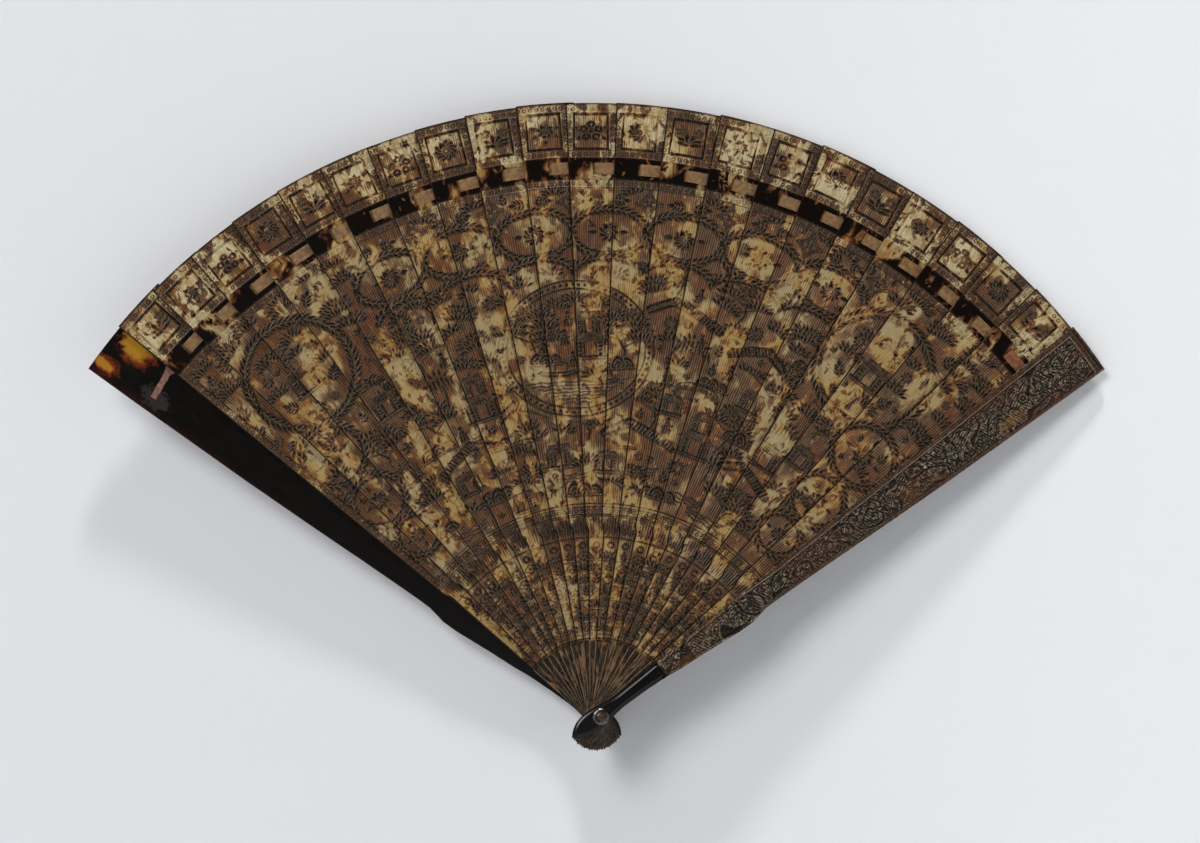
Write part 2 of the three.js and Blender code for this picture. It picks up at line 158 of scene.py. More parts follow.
class Relief:
    """A map of how much of the shell's full thickness the carver left: 1 on top, 0 on the ground."""

    def __init__(self, x_low, x_high, y_low, y_high, cell=0.1, vein=VEIN):
        self.cell, self.x_low, self.y_low, self.vein = cell, x_low, y_low, vein
        self.xs = np.arange(x_low, x_high, cell, dtype=np.float32)
        self.ys = np.arange(y_low, y_high, cell, dtype=np.float32)
        self.map = np.zeros((len(self.ys), len(self.xs)), np.float32)

    def window(self, x, y, reach):
        """The part of the map within reach of a point, or None beside the map."""
        spans = []
        for at, low, line in ((y, self.y_low, self.ys), (x, self.x_low, self.xs)):
            start = max(int((at - reach - low) / self.cell), 0)
            end = min(int((at + reach - low) / self.cell) + 2, len(line))
            if end <= start:
                return None
            spans.append(slice(start, end))
        return tuple(spans)

    def stamp(self, x, y, turn, reach, shape, cut=False, groove=0.0):
        """shape(u, v) gives the distance inside the edge. turn is clockwise from upright.

        A raised shape with a groove round it is parted from what was carved before it.
        """
        at = self.window(x, y, reach + groove)
        if at is None:
            return
        dx = self.xs[at[1]][None, :] - x
        dy = self.ys[at[0]][:, None] - y
        c, s = math.cos(math.radians(turn)), math.sin(math.radians(turn))
        inside = shape(dx * c - dy * s, dx * s + dy * c)
        raised = np.clip(inside / SOFT + 0.5, 0, 1)
        old = self.map[at]
        if cut:
            self.map[at] = np.minimum(old, 1 - raised)
            return
        if groove:
            old = np.minimum(old, 1 - self.vein * np.clip((inside + groove) / SOFT + 0.5, 0, 1))
        self.map[at] = np.maximum(old, raised)

    def filled(self, x, y, reach):
        """How much raised work is round a point, from 0 to 1."""
        at = self.window(x, y, reach)
        return 1.0 if at is None else float(self.map[at].mean())

    def sample(self, x, y):
        """The map between its points, by straight interpolation."""
        fx = np.clip((x - self.x_low) / self.cell, 0, len(self.xs) - 1.001)
        fy = np.clip((y - self.y_low) / self.cell, 0, len(self.ys) - 1.001)
        i, j = fx.astype(int), fy.astype(int)
        a, b = fx - i, fy - j
        m = self.map
        low = m[j, i] * (1 - a) + m[j, i + 1] * a
        high = m[j + 1, i] * (1 - a) + m[j + 1, i + 1] * a
        return low * (1 - b) + high * b


class Place:
    """A spot on a relief with its own upright direction, so that motifs can be drawn in local sizes."""

    def __init__(self, relief, x, y, turn=0.0):
        self.relief, self.x, self.y, self.turn = relief, x, y, turn

    def at(self, u, v, turn=0.0):
        c, s = math.cos(math.radians(self.turn)), math.sin(math.radians(self.turn))
        return Place(self.relief, self.x + u * c + v * s, self.y - u * s + v * c, self.turn + turn)

    def draw(self, reach, shape, cut=False, groove=0.0):
        self.relief.stamp(self.x, self.y, self.turn, reach, shape, cut, groove)

    def leaf(self, u, v, turn, length, width, groove=GROOVE):
        """A pointed leaf that starts at u, v and runs along turn, clockwise from upright."""
        def shape(a, b):
            t = np.clip(b / length + 0.5, 0, 1)
            swell = np.sin(np.pi * t ** 0.8)
            return np.minimum(width / 2 * swell - np.abs(a), (length / 2 - np.abs(b)) * 0.8)
        self.at(u, v, turn).at(0, length / 2).draw(length * 0.62, shape, False, groove)

    def bar(self, u0, v0, u1, v1, width, cut=False, groove=0.0):
        """A straight stroke with round ends."""
        du, dv = (u1 - u0) / 2, (v1 - v0) / 2
        half = math.hypot(du, dv) or 1e-6
        du, dv = du / half, dv / half

        def shape(a, b):
            along = np.clip(a * du + b * dv, -half, half)
            return width / 2 - np.hypot(a - along * du, b - along * dv)
        self.at((u0 + u1) / 2, (v0 + v1) / 2).draw(half + width, shape, cut, groove)

    def level(self, half, v, width, cut=False):
        """A level stroke, as far to the left as to the right."""
        self.bar(-half, v, half, v, width, cut)

    def post(self, u, low, high, width):
        """An upright stroke."""
        self.bar(u, low, u, high, width)

    def lump(self, u, v, ru, rv, cut=False, groove=GROOVE):
        """An oval."""
        def shape(a, b):
            return (1 - np.hypot(a / ru, b / rv)) * min(ru, rv)
        self.at(u, v).draw(max(ru, rv) + 0.3, shape, cut, groove)

    def disc(self, u, v, radius, cut=False, groove=0.0):
        self.lump(u, v, radius, radius, cut, groove)

    def clear(self, ru, rv=None):
        """Takes away what was carved in a circle or oval."""
        self.lump(0, 0, ru, rv or ru, True, 0)

    def ring(self, ru, width, rv=None):
        """A raised line along a circle or oval."""
        rv = rv or ru

        def shape(a, b):
            return width / 2 - np.abs(np.hypot(a / ru, b / rv) - 1) * min(ru, rv)
        self.draw(max(ru, rv) + width, shape)

    def path(self, points, width, cut=False, groove=0.0):
        for start, end in zip(points, points[1:]):
            self.bar(*start, *end, width, cut, groove)


def arc_points(ru, rv, start, end, steps=26):
    return [around(ru, turn, rv) for turn in np.linspace(start, end, steps + 1)]


def daisy(p, radius, petals=11):
    """Petals round a ringed eye."""
    p.clear(radius * 1.15)
    for n in range(petals):
        p.leaf(0, 0, 360 * (n + 0.3) / petals, radius, radius * 0.56, 0.2)
    p.disc(0, 0, radius * 0.36, cut=True)
    p.ring(radius * 0.2, 0.3)


def sprig(p, length, pairs=3):
    """A stem with pairs of leaves and a bud."""
    p.post(0, 0, length * 0.8, 0.32)
    for n in range(pairs):
        v = length * (0.06 + 0.6 * n / pairs)
        size = length * (0.5 - 0.05 * n)
        for side in (-1, 1):
            p.leaf(0, v, side * 50, size, max(0.74, size * 0.42), 0.2)
    p.leaf(0, length * 0.55, 0, length * 0.5, max(0.8, length * 0.24), 0.2)


def blossom(p, radius):
    """Five little rings round a dot."""
    p.clear(radius * 1.1)
    for out, size, cut, groove in ((0.6, 0.4, False, 0.16), (0.62, 0.13, True, 0)):
        for n in range(5):
            p.disc(*around(radius * out, 72 * n), radius * size, cut, groove)
    p.disc(0, 0, radius * 0.26, cut=True)


def garland(p, points, width, rng):
    """Bay leaves along a curve that point along it and overlap like shingles."""
    p.path(points, width * 0.74)
    walk, side = 0.0, 1
    for (u0, v0), (u1, v1) in zip(points, points[1:]):
        span = math.hypot(u1 - u0, v1 - v0)
        heading = math.degrees(math.atan2(u1 - u0, v1 - v0))
        while walk < span:
            t = walk / span
            off_v, off_u = around(0.06 * side * width, heading)
            p.leaf(u0 + (u1 - u0) * t + off_u, v0 + (v1 - v0) * t - off_v,
                   heading + side * 25 + 8 * (rng.random() - 0.5), width * 1.16, 0.98, 0.17)
            side = -side
            walk += 0.86
        walk -= span


def wreath(p, ru, rv, width, rng):
    """Two garlands that start at one end of an oval and meet at the other."""
    garland(p, arc_points(ru, rv, -86, 84), width, rng)
    garland(p, arc_points(ru, rv, -94, -264), width, rng)


def star(p, radius):
    """A star of four hollow sides, with a small flower in it."""
    tips = [(0, radius), (radius, 0), (0, -radius), (-radius, 0), (0, radius)]
    p.clear(radius * 0.75)
    for width, cut in ((0.95, False), (0.26, True)):
        for start, end in zip(tips, tips[1:]):
            bend = [[(1 - t) ** 2 * a + t * t * b + 0.4 * t * (1 - t) * (a + b) for a, b in zip(start, end)]
                    for t in np.linspace(0, 1, 7)]
            p.path(bend, width, cut)
    for n in range(4):
        p.leaf(0, 0, 45 + 90 * n, radius * 0.42, 0.7, 0.16)


def roof(p, half, height):
    """A hatched roof with turned up eaves and a ridge."""
    def shape(a, b):
        t = np.clip(b / height, 0, 1)
        wide = half * (1.18 - 0.62 * t ** 0.6)
        lift = 0.55 * np.clip(np.abs(a) / half - 0.75, 0, 1) * 2
        return np.minimum(np.minimum(b - lift, height - b + 0.1), (wide - np.abs(a)) * 0.8)
    p.draw(max(half * 1.3, height + 0.5), shape, False, GROOVE)
    lines = max(3, int(2 * half / 0.82))
    for t in (-1 + 2 * i / lines for i in range(lines + 1)):
        p.bar(t * half * 0.95, 0.35, t * half * 0.52, height - 0.35, 0.24, cut=True)
    p.level(half * 0.62, height, 0.42)


def long_roof(p, half, rise, lean=1):
    """A roof seen from its corner: two hatched slopes that fall away from a ridge."""
    top = [(-half, 0), (-half * 0.3, rise), (half * 0.4, rise * 0.3), (half, -rise * 0.5)]
    top = [(u * lean, v) for u, v in top]
    p.path(top, 2.3, groove=GROOVE)
    for (u0, v0), (u1, v1) in zip(top, top[1:]):
        lines = max(2, int(math.hypot(u1 - u0, v1 - v0) / 0.95))
        for t in ((i + 0.5) / lines for i in range(lines)):
            u, v = u0 + (u1 - u0) * t, v0 + (v1 - v0) * t
            p.bar(u - 0.5 * lean, v - 0.85, u + 0.5 * lean, v + 0.75, 0.24, cut=True)
    for lift in (1.35, -1.4):
        p.path([(u, v + lift) for u, v in top], 0.4)


def pavilion(p, size, floors=1):
    """A small open house: plinth, posts, lattice and one or two hatched roofs."""
    half = size * 0.5
    p.at(0, size * 0.4).clear(half * 1.2, size * 0.7)
    p.level(half, -0.1, 0.62)
    p.level(half * 0.9, -0.85, 0.4)
    v = 0.0
    for floor in range(floors):
        wide = half * (0.85 - 0.25 * floor)
        tall = size * (0.44 - 0.1 * floor)
        for t in (-1, -0.4, 0.4, 1):
            p.post(t * wide, v, v + tall, 0.55)
        for t in (-0.7, 0.7):
            p.post(t * wide, v + tall * 0.1, v + tall * 0.9, 0.3 * wide)
            for q in (v + tall * share for share in (0.25, 0.5, 0.75)):
                p.at(t * wide, 0).level(0.2 * wide, q, 0.22, cut=True)
        v += tall
        roof(p.at(0, v), wide * 1.25, size * (0.27 - 0.05 * floor))
        v += size * (0.29 - 0.05 * floor)
    p.leaf(0, v - 0.3, 0, size * 0.16, 0.7)


def foliage(p, wide, tall, rng):
    """A cloud of short pointed leaves in rows."""
    p.lump(0, tall * 0.55, wide * 0.47, tall * 0.5, groove=0)
    rows = max(2, int(tall / 1.35))
    for i in range(rows):
        v = tall * (1 - (i + 0.8) / rows)
        span = wide / 2 * math.sqrt(max(0.2, 1 - ((v - tall * 0.3) / (tall * 0.8)) ** 2))
        n = max(2, int(2 * span / 0.8))
        for t in (-1 + 2 * j / n for j in range(n + 1)):
            p.leaf(t * span * 0.9, v, t * 66 + 14 * (rng.random() - 0.5), 2.5, 0.9, 0.15)


def tree(p, size, rng, lean=0.0):
    """A bent trunk with clouds of leaves at several levels."""
    stem = [(0, 0), (size * 0.07 + lean * 0.3, size * 0.3), (-size * 0.05 + lean * 0.6, size * 0.6),
            (lean, size * 0.85)]
    p.path(stem, 0.62)
    p.path([(size * 0.02, size * 0.35), (size * 0.34, size * 0.5)], 0.4)
    p.path([(0, size * 0.5), (-size * 0.32, size * 0.64)], 0.4)
    for u, v, wide, tall in ((lean, 0.86, 0.62, 0.3), (-size * 0.36, 0.62, 0.52, 0.26),
                             (size * 0.38, 0.46, 0.5, 0.24), (size * 0.3, 0.74, 0.36, 0.2)):
        foliage(p.at(u, size * v), size * wide, size * tall, rng)


def willow(p, size):
    """A tree whose long leaves hang in close parallel lines."""
    p.path([(0, 0), (size * 0.08, size * 0.4), (0, size * 0.75)], 0.6)
    for t in np.linspace(-1, 1, 9):
        length = size * (0.52 - 0.12 * abs(t))
        p.leaf(t * size * 0.42, size * (0.95 - 0.3 * t * t), 180 - t * 16, length, 0.82, 0.2)
    for t in np.linspace(-1, 1, 7):
        p.leaf(t * size * 0.3, size * (0.86 - 0.2 * t * t), t * 60, size * 0.24, 0.8, 0.2)


def rocks(p, size, rng):
    """Heaped stones with curved grooves."""
    half = size * 0.34
    for u in (-size * 0.42, size * 0.42, 0):
        tall = size * (0.4 + 0.2 * rng.random())

        def stone(a, b):
            return np.minimum((1 - np.hypot((a - u) / half, b / tall)) * half, b)
        p.draw(size, stone, False, GROOVE)
        for share in (0.66, 0.34):
            arc = arc_points(half * share, tall * share, -75, 75, 6)
            p.path([(u + a, b) for a, b in arc], 0.22, cut=True)
    p.level(size * 0.8, -0.35, 0.42)


def water(p, half, rows=3):
    """Waves in rows that grow shorter downwards."""
    for n in range(rows):
        reach = half * (1 - 0.12 * n)
        p.path([(a, 0.24 * math.sin(a * 1.7 + n) - n) for a in np.linspace(-reach, reach, 14)], 0.36)


def boat(p, size):
    """A curved hull with a small house on posts."""
    def hull(a, b):
        return np.minimum(1.5 - np.abs(b + 0.2 - 1.1 * np.abs(a / (size * 0.5)) ** 2.5),
                          size * 0.5 - np.abs(a)) - 0.7
    p.draw(size * 0.62, hull, False, GROOVE)
    p.path([(a * size * 0.42, -0.25 + 1.1 * abs(a) ** 2.5) for a in np.linspace(-1, 1, 8)], 0.22, cut=True)
    roof(p.at(size * 0.06, size * 0.24), size * 0.2, size * 0.12)
    for u in (-size * 0.09, size * 0.21):
        p.post(u, 0.4, size * 0.24, 0.42)


def robed(p, size):
    """A little robed figure without features."""
    def robe(a, b):
        t = np.clip(b / (size * 0.66), 0, 1)
        return np.minimum(size * (0.27 - 0.14 * t) - np.abs(a), np.minimum(b, size * 0.66 - b) + 0.05)
    p.draw(size, robe, False, GROOVE)
    p.bar(-size * 0.1, size * 0.05, -size * 0.03, size * 0.55, 0.22, cut=True)
    p.bar(size * 0.12, size * 0.05, size * 0.05, size * 0.45, 0.22, cut=True)
    p.bar(-size * 0.26, size * 0.34, size * 0.32, size * 0.46, 0.42)
    p.disc(0, size * 0.82, size * 0.13)


def bridge(p, half):
    """An arch with a railing."""
    arch = half, half * 0.42
    p.path(arc_points(*arch, -82, 82, 10), 1.1, groove=GROOVE)
    p.path(arc_points(*arch, -78, 78, 10), 0.24, cut=True)
    for a, b in arc_points(*arch, -70, 70, 9):
        p.post(a, b + 0.5, b + 1.5, 0.34)
    p.path([(a, b + 1.6) for a, b in arc_points(*arch, -76, 76, 10)], 0.34)


# Where the landscape's motifs stand: degrees from upright, distance from the rivet and size, then a long
# roof's rise and lean or a pavilion's floors
TREES = ((-27, 116, 14), (-34, 76, 12), (-14, 68, 10), (7, 66, 10), (27, 106, 14), (31, 70, 11),
         (19.5, 126, 11), (-22.5, 128, 10), (-39, 98, 11), (10.5, 90, 12), (37, 104, 10), (-1.5, 84, 8),
         (-30, 96, 12), (24, 90, 11))
WILLOWS = ((-25.5, 104, 11), (23.5, 78, 11), (-9.5, 64, 9), (14.5, 108, 10), (-44, 80, 9), (42, 80, 9),
           (33.5, 96, 9), (-16, 78, 8))
ROCKS = ((-24, 68, 7), (-3, 64, 7), (15, 65, 7), (36, 67, 7), (-40, 67, 7), (-18.5, 82, 6), (5, 78, 6),
         (27, 88, 7), (-31, 88, 7), (19, 100, 6), (47, 67, 6), (-48, 67, 6), (-35, 116, 6), (31, 116, 6))
WATERS = ((-13, 74, 5), (10, 73, 5), (-34, 65, 5), (28, 65, 6), (-6, 70, 5), (22, 68, 5))
LONG_ROOFS = ((12.5, 118, 10.5, 4.2, 1), (8.5, 81.5, 10, 3.8, 1), (24, 113, 8, 3, -1), (-27, 83, 9, 3.2, -1),
              (-13.5, 90, 7, 3, 1), (31.5, 80, 8, 3, 1))
PAVILIONS = ((-20.5, 92, 10, 2), (-8, 73, 8.5, 1), (19.5, 80, 9.5, 2), (33, 86, 9.5, 1), (-34, 106, 9, 1),
             (2.5, 71, 7.5, 1), (-29, 74, 8, 1), (13.5, 90, 7, 1), (-18, 63, 7, 1), (26, 98, 8, 1),
             (38, 92, 8, 1), (-38, 86, 8, 1))
BRIDGES = ((17, 96, 6), (-22, 81, 5))
FIGURES = ((-16.8, 100), (13.6, 84), (27.5, 94), (-25.5, 88), (15.6, 110), (30, 100), (-23.5, 110),
           (21, 104), (-32.5, 112), (35, 110))
LARGE_WREATHS = ((-41, 131, 16), (38.6, 128, 16.5))
SIDE_WREATHS = ((45.4, 107, 9.5), (45.2, 88.5, 8.0), (44.4, 73.5, 6.4))
CHAIN_START, CHAIN_PITCH, CHAIN_RADIUS = 1.6, 9.0, 140.3
FAN_MAP = (-150.5, 150.5, 8.0, RIM)
FILLED = (62, 153)
FILLED_TURNS = 106

# The medallion's middle in the same way, and what stands in it: places to the right of its middle and above
# it, sizes, and how far the trees lean
MEDALLION = (-3.1, 106.5)
RIVER_BOATS = ((-5.5, -7.2, 12), (8.5, -10.0, 8))
RIVER_TREES = ((-13.4, -5, 15, 1.5), (13.6, -5.5, 14, -1.2))
RIVER_ROCKS = ((-9, -4.2, 6), (12, -6.5, 6))
RIVER_FIGURES = ((-7.5, 2.2), (-3.4, 1.2), (-1.2, -5.2), (9.4, 0.5), (-9.5, -1.0), (-2.2, 6.5))
RIVER_CLOUDS = ((-5, 11.5), (0.5, 13.2), (6.5, 11.4), (-10, 9), (11, 8))


class Fan(Relief):
    """The relief of the open fan, on which places are found by angle and distance from the rivet."""

    def spot(self, phi, radius, turn=None):
        return Place(self, *around(radius, phi), phi if turn is None else turn)


def landscape(fan, rng):
    """Trees, stones, water, houses, bridges and figures all over the field."""
    for phi, radius, size in TREES:
        tree(fan.spot(phi, radius - size * 0.5), size, rng, lean=size * 0.1 * (1 if phi > 0 else -1))
    for phi, radius, size in WILLOWS:
        willow(fan.spot(phi, radius - size * 0.45), size)
    for phi, radius, size in ROCKS:
        rocks(fan.spot(phi, radius), size, rng)
    for phi, radius, half in WATERS:
        water(fan.spot(phi, radius), half)
    for phi, radius, half, rise, lean in LONG_ROOFS:
        p = fan.spot(phi, radius)
        p.clear(half, 3)
        long_roof(p, half, rise, lean)
    for phi, radius, size, floors in PAVILIONS:
        pavilion(fan.spot(phi, radius), size, floors)
    for phi, radius, half in BRIDGES:
        bridge(fan.spot(phi, radius), half)
    for phi, radius in FIGURES:
        robed(fan.spot(phi, radius), 5)


def wreath_chain(fan, rng):
    """A chain of oval wreaths with flowers, below the band that holds the ribbon."""
    turns = [CHAIN_START + CHAIN_PITCH * n for n in range(-3, 4)]
    for phi in turns:
        fan.spot(phi, CHAIN_RADIUS).clear(12.6, 8.4)
    for n, phi in enumerate(turns):
        p = fan.spot(phi, CHAIN_RADIUS)
        wreath(p, 10.9, 6.7, 2.6, rng)
        daisy(p, 3.2, 9 if n % 2 else 11)
        for side in (-1, 1):
            p.leaf(3.3 * side, 0, 90 * side, 2.8, 1.3)
        between = phi + CHAIN_PITCH / 2
        q = fan.spot(between, 149.2)
        q.clear(4.6, 3.9)
        star(q, 3.7)
        q = fan.spot(between, 132.6, phi + 184.5)
        q.clear(3.4)
        sprig(q, 4.6)
        for side in (-1, 1):
            sprig(fan.spot(phi + 0.5 * side, 149.6, phi + 90 * side), 5.0)
        garland(fan.spot(phi, 128.5), arc_points(9.6, 4.4, -78, 78, 12), 2.3, rng)


def side_wreaths(fan, rng):
    """Large wreaths near both ends, with a lantern and flowers inside, and smaller ones down both sides."""
    for phi, radius, size in LARGE_WREATHS:
        p = fan.spot(phi, radius)
        p.clear(size * 1.16)
        wreath(p, size, size, 3.2, rng)
        pavilion(p.at(0, -5.2), 10.0)
        for a in (-62, 0, 62):
            daisy(p.at(*around(9.6, a, 9.2), a), 2.0, 8)
        for side in (-1, 1):
            sprig(p.at(6.5 * side, -7.5, 40 * side), 5.0)
            foliage(p.at(8.4 * side, -1.5), 4.5, 2.4, rng)
        for a in (-135, -45, 45, 135):
            sprig(p.at(*around(size + 3.4, a), a), 5.4)
    for side in (-1, 1):
        for phi, radius, size in SIDE_WREATHS:
            p = fan.spot(side * phi, radius)
            p.clear(size * 1.16)
            wreath(p, size, size * 0.94, 2.4, rng)
            daisy(p, size * 0.36, 9)
            for a in (0, 90, 180, 270):
                p.leaf(*around(size * 0.42, a), a, size * 0.3, 0.9)


def medallion(fan, rng):
    """A river scene inside a dotted ring, at the middle of the fan."""
    p = fan.spot(*MEDALLION)
    p.clear(24, 21)
    p.ring(22.6, 0.5, 19.7)
    p.ring(20.2, 0.5, 17.4)
    for u, v in arc_points(21.4, 18.6, 0, 360, 70)[:-1]:
        p.disc(u, v, 0.5)
    water(p.at(0, -9.6), 15, 7)
    for u, v, size in RIVER_BOATS:
        boat(p.at(u, v), size)
    for u, v, size, lean in RIVER_TREES:
        tree(p.at(u, v), size, rng, lean)
    pavilion(p.at(4.2, -2.4), 10, 2)
    for u, v, size in RIVER_ROCKS:
        rocks(p.at(u, v), size, rng)
    for u, v in RIVER_FIGURES:
        robed(p.at(u, v), 4.8)
    for u, v in RIVER_CLOUDS:
        foliage(p.at(u, v), 5.2, 2.2, rng)


def filler(p, room, kind, rng):
    """A motif of the kind drawn by lot, for a free spot with some room round it."""
    if room > 3:
        if kind < 4:
            foliage(p.at(0, -room * 0.7), room * 2.1, room * 1.3, rng)
        else:
            daisy(p, room * 0.72, 10)
    elif room > 2:
        if kind < 4:
            foliage(p.at(0, -room * 0.6), room * 2.2, room * 1.1, rng)
        elif kind == 4:
            daisy(p, room * 0.74, 8)
        else:
            robed(p.at(0, -room), room * 1.9)
    elif room > 1.5:
        if kind < 2:
            sprig(p.at(0, -room), room * 2.0, 2)
        elif kind < 5:
            foliage(p.at(0, -room * 0.7), room * 1.9, room * 1.2, rng)
        else:
            blossom(p, room * 0.75)
    else:
        for turn in (-40, 0, 40):
            p.leaf(0, -room * 0.8, turn, room * 1.5, 0.8, 0.14)


def fill_gaps(fan, rng):
    """Clouds of leaves, small sprigs and flowers fill what is left."""
    for room, tries, limit in ((3.4, 1500, 0.03), (2.5, 3000, 0.03), (1.8, 5000, 0.02), (1.25, 5000, 0.0)):
        for _ in range(tries):
            phi = (rng.random() - 0.5) * FILLED_TURNS
            radius = FILLED[0] + (FILLED[1] - FILLED[0]) * math.sqrt(rng.random())
            kind = rng.integers(0, 6)
            p = fan.spot(phi, radius, phi + (rng.random() - 0.5) * (40 if room > 1.5 else 200))
            if fan.filled(p.x, p.y, room + 0.15) <= limit:
                filler(p, room, kind, rng)


def gorge_ornaments(fan, rng):
    """A dotted band at the gorge, a hung border of strokes, then small ornaments down each stick."""
    for leaf in range(1, STICKS + 1):
        phi = angle_of(leaf)
        p = fan.spot(phi, 52.4)
        for n, u in enumerate(np.arange(-2.4, 2.5, 0.8)):
            p.bar(u * 0.9, 0.3 + 0.6 * (n % 2), u, 5.0 - 0.3 * u * u, 0.5)
        p = fan.spot(phi, 49.4)
        p.disc(0, 0, 1.1)
        p.disc(0, 0, 0.5, cut=True)
        for n in range(7):
            radius = 46.4 - 3.5 * n
            p = fan.spot(phi, radius)
            wide = 0.9 + 1.0 * (radius - 20) / 28
            kind = (leaf + n) % 4
            if kind == 0:
                for t in (-50, 0, 50, 130, 180, 230):
                    p.leaf(0, 0, t, wide, 0.66)
            elif kind == 1:
                sprig(p.at(0, -1.3), 3.0, 2)
            elif kind == 2:
                p.path([(-wide, 0), (0, 1.3), (wide, 0), (0, -1.3), (-wide, 0)], 0.4)
                p.disc(0, 0, 0.45)
            else:
                foliage(p.at(0, -1.2), wide * 1.8, 2.2, rng)
            if (leaf + n) % 3 == 0:
                p.level(2.2, -1.75, 0.3)


def carve_fan():
    """The main field of the open fan, drawn across all the sticks at once."""
    rng = np.random.default_rng(5)
    fan = Fan(*FAN_MAP)
    for stage in (landscape, wreath_chain, side_wreaths, medallion, fill_gaps, gorge_ornaments):
        stage(fan, rng)
    return fan


def plume(p, length, width, bend):
    """A broad leaf with a toothed edge and a cut midrib, curved to one side."""
    spine = [(bend * (n / 6) ** 2, length * n / 6) for n in range(7)]
    for n, (u, v) in enumerate(spine[:-1]):
        tooth = width * math.sin(math.pi * (0.15 + 0.75 * n / 6)) * 0.5 + 1.1
        for side in (-1, 1):
            p.leaf(u, v, side * 46 + bend * 9 * n / 6, tooth, 1.25, 0.3)
    p.path(spine, 0.3, cut=True)


def scroll(p, radius, side=1):
    """A spiral that opens into broad leaves."""
    spiral = []
    for n in range(18):
        out = radius * (0.2 + 0.8 * n / 17)
        spiral.append(around(out, side * n * 26))
    p.clear(radius)
    p.path(spiral, 0.72)
    for u, v in spiral[7::3]:
        turn = math.degrees(math.atan2(u, v)) + 34 * side
        p.leaf(u * 0.95, v * 0.95, turn, radius * 0.6, 1.2, 0.3)


def rosette(p, radius):
    """A round flower in rings, as on the guards."""
    p.clear(radius * 1.12)
    for n in range(8):
        p.leaf(0, 0, 45 * n, radius, radius * 0.62, 0.26)
    p.disc(0, 0, radius * 0.44, cut=True)
    p.ring(radius * 0.27, 0.42)
    p.disc(0, 0, 0.3)


# Where the scrolls of a guard's blade are, with the side that each leans to, and the tops of its arches
GUARD_SCROLLS = ((173.2, 1), (167.2, -1), (146.5, -1), (140.5, 1), (121.5, 1), (116, -1), (98, 1), (92.5, -1),
                 (74, 1), (68, -1))
GUARD_ARCHES = (161.0, 135.5, 110.5, 86.0, 62.0)
GUARD_FLOWERS = 4
GUARD_MAP = (-8.8, 8.8, 18.0, 179.0)
GUARD_MAP_CELL = 0.08


def carve_blade(relief, rng):
    """Arches, scrolls, flowers and broad leaves, close together."""
    top = Place(relief, 0, 0)

    def wide_at(radius):
        return 2.6 + 3.3 * (radius - 60) / 115

    for radius in np.linspace(60, 175, 30, endpoint=False):
        for side in (-1, 1):
            p = top.at(side * wide_at(radius) * (0.45 + 0.35 * rng.random()), radius - 2,
                       side * (15 + 40 * rng.random()))
            plume(p, 3.4 + 1.6 * rng.random(), 2.8, 0.8 * side)
    for radius, side in GUARD_SCROLLS:
        wide = wide_at(radius)
        scroll(top.at(side * wide * 0.34, radius), wide * 0.58, side)
    for radius in GUARD_ARCHES:
        wide = wide_at(radius) + 0.4
        p = top.at(0.1, radius - wide * 0.9)
        for n, bold in enumerate((1.0, 0.46, 0.46)):
            k = wide * (1.0 - 0.24 * n)
            p.path(arc_points(k * 1.02, k * 1.1, -84, 84, 16), bold, groove=0.4)
    for n in range(1, GUARD_FLOWERS + 1):
        radius = GORGE + (RIM - GORGE) * n / (GUARD_FLOWERS + 1)
        right, left = (float(guard_half(radius, side)) - 1.5 for side in (1, -1))
        rosette(top.at((right - left) / 2, radius), 0.76 * (right + left) / 2)
    for room, tries in ((1.2, 1500), (0.85, 3000)):
        for _ in range(tries):
            radius = 59 + 117 * rng.random()
            p = Place(relief, (rng.random() * 2 - 1) * (wide_at(radius) + 0.7), radius, rng.random() * 360)
            if relief.filled(p.x, p.y, room) <= 0.2:
                p.leaf(0, -room, 0, room * 2.2, room * 1.2, 0.24)


def carve_narrow_part(relief, rng):
    """The part below the shoulder."""
    top = Place(relief, 0, 0)
    for n, radius in enumerate(np.arange(25, 50, 2.9)):
        wide = 1.6 + 2.1 * (radius - 20) / 34
        side = 1 if n % 2 else -1
        for t in (30, 75, 120):
            top.leaf(0.3 - side * 0.3, radius, -side * t, wide * 1.05, 1.3, 0.26)
        scroll(top.at(0.3 + side * wide * 0.3, radius), wide * 0.44, side)
    p = top.at(0.7, 51.2)
    p.clear(3.6, 2.4)
    for side in (-1, 1):
        scroll(p.at(1.75 * side, 0), 1.55, side)
    for _ in range(1600):
        radius = 23.5 + 30 * rng.random()
        p = Place(relief, (rng.random() * 2 - 1) * 3.6, radius, rng.random() * 360)
        if relief.filled(p.x, p.y, 0.6) < 0.16:
            p.leaf(0, -0.6, 0, 1.5, 0.8, 0.2)


def carve_guard():
    """The outer face of a guard."""
    rng = np.random.default_rng(23)
    relief = Relief(*GUARD_MAP, GUARD_MAP_CELL, 1.0)
    carve_blade(relief, rng)
    carve_narrow_part(relief, rng)
    return relief


PANEL_MAP = (-5.4, 5.4, -5.4, 5.4)
PANEL_MAP_CELL = 0.06
panel_maps = {}


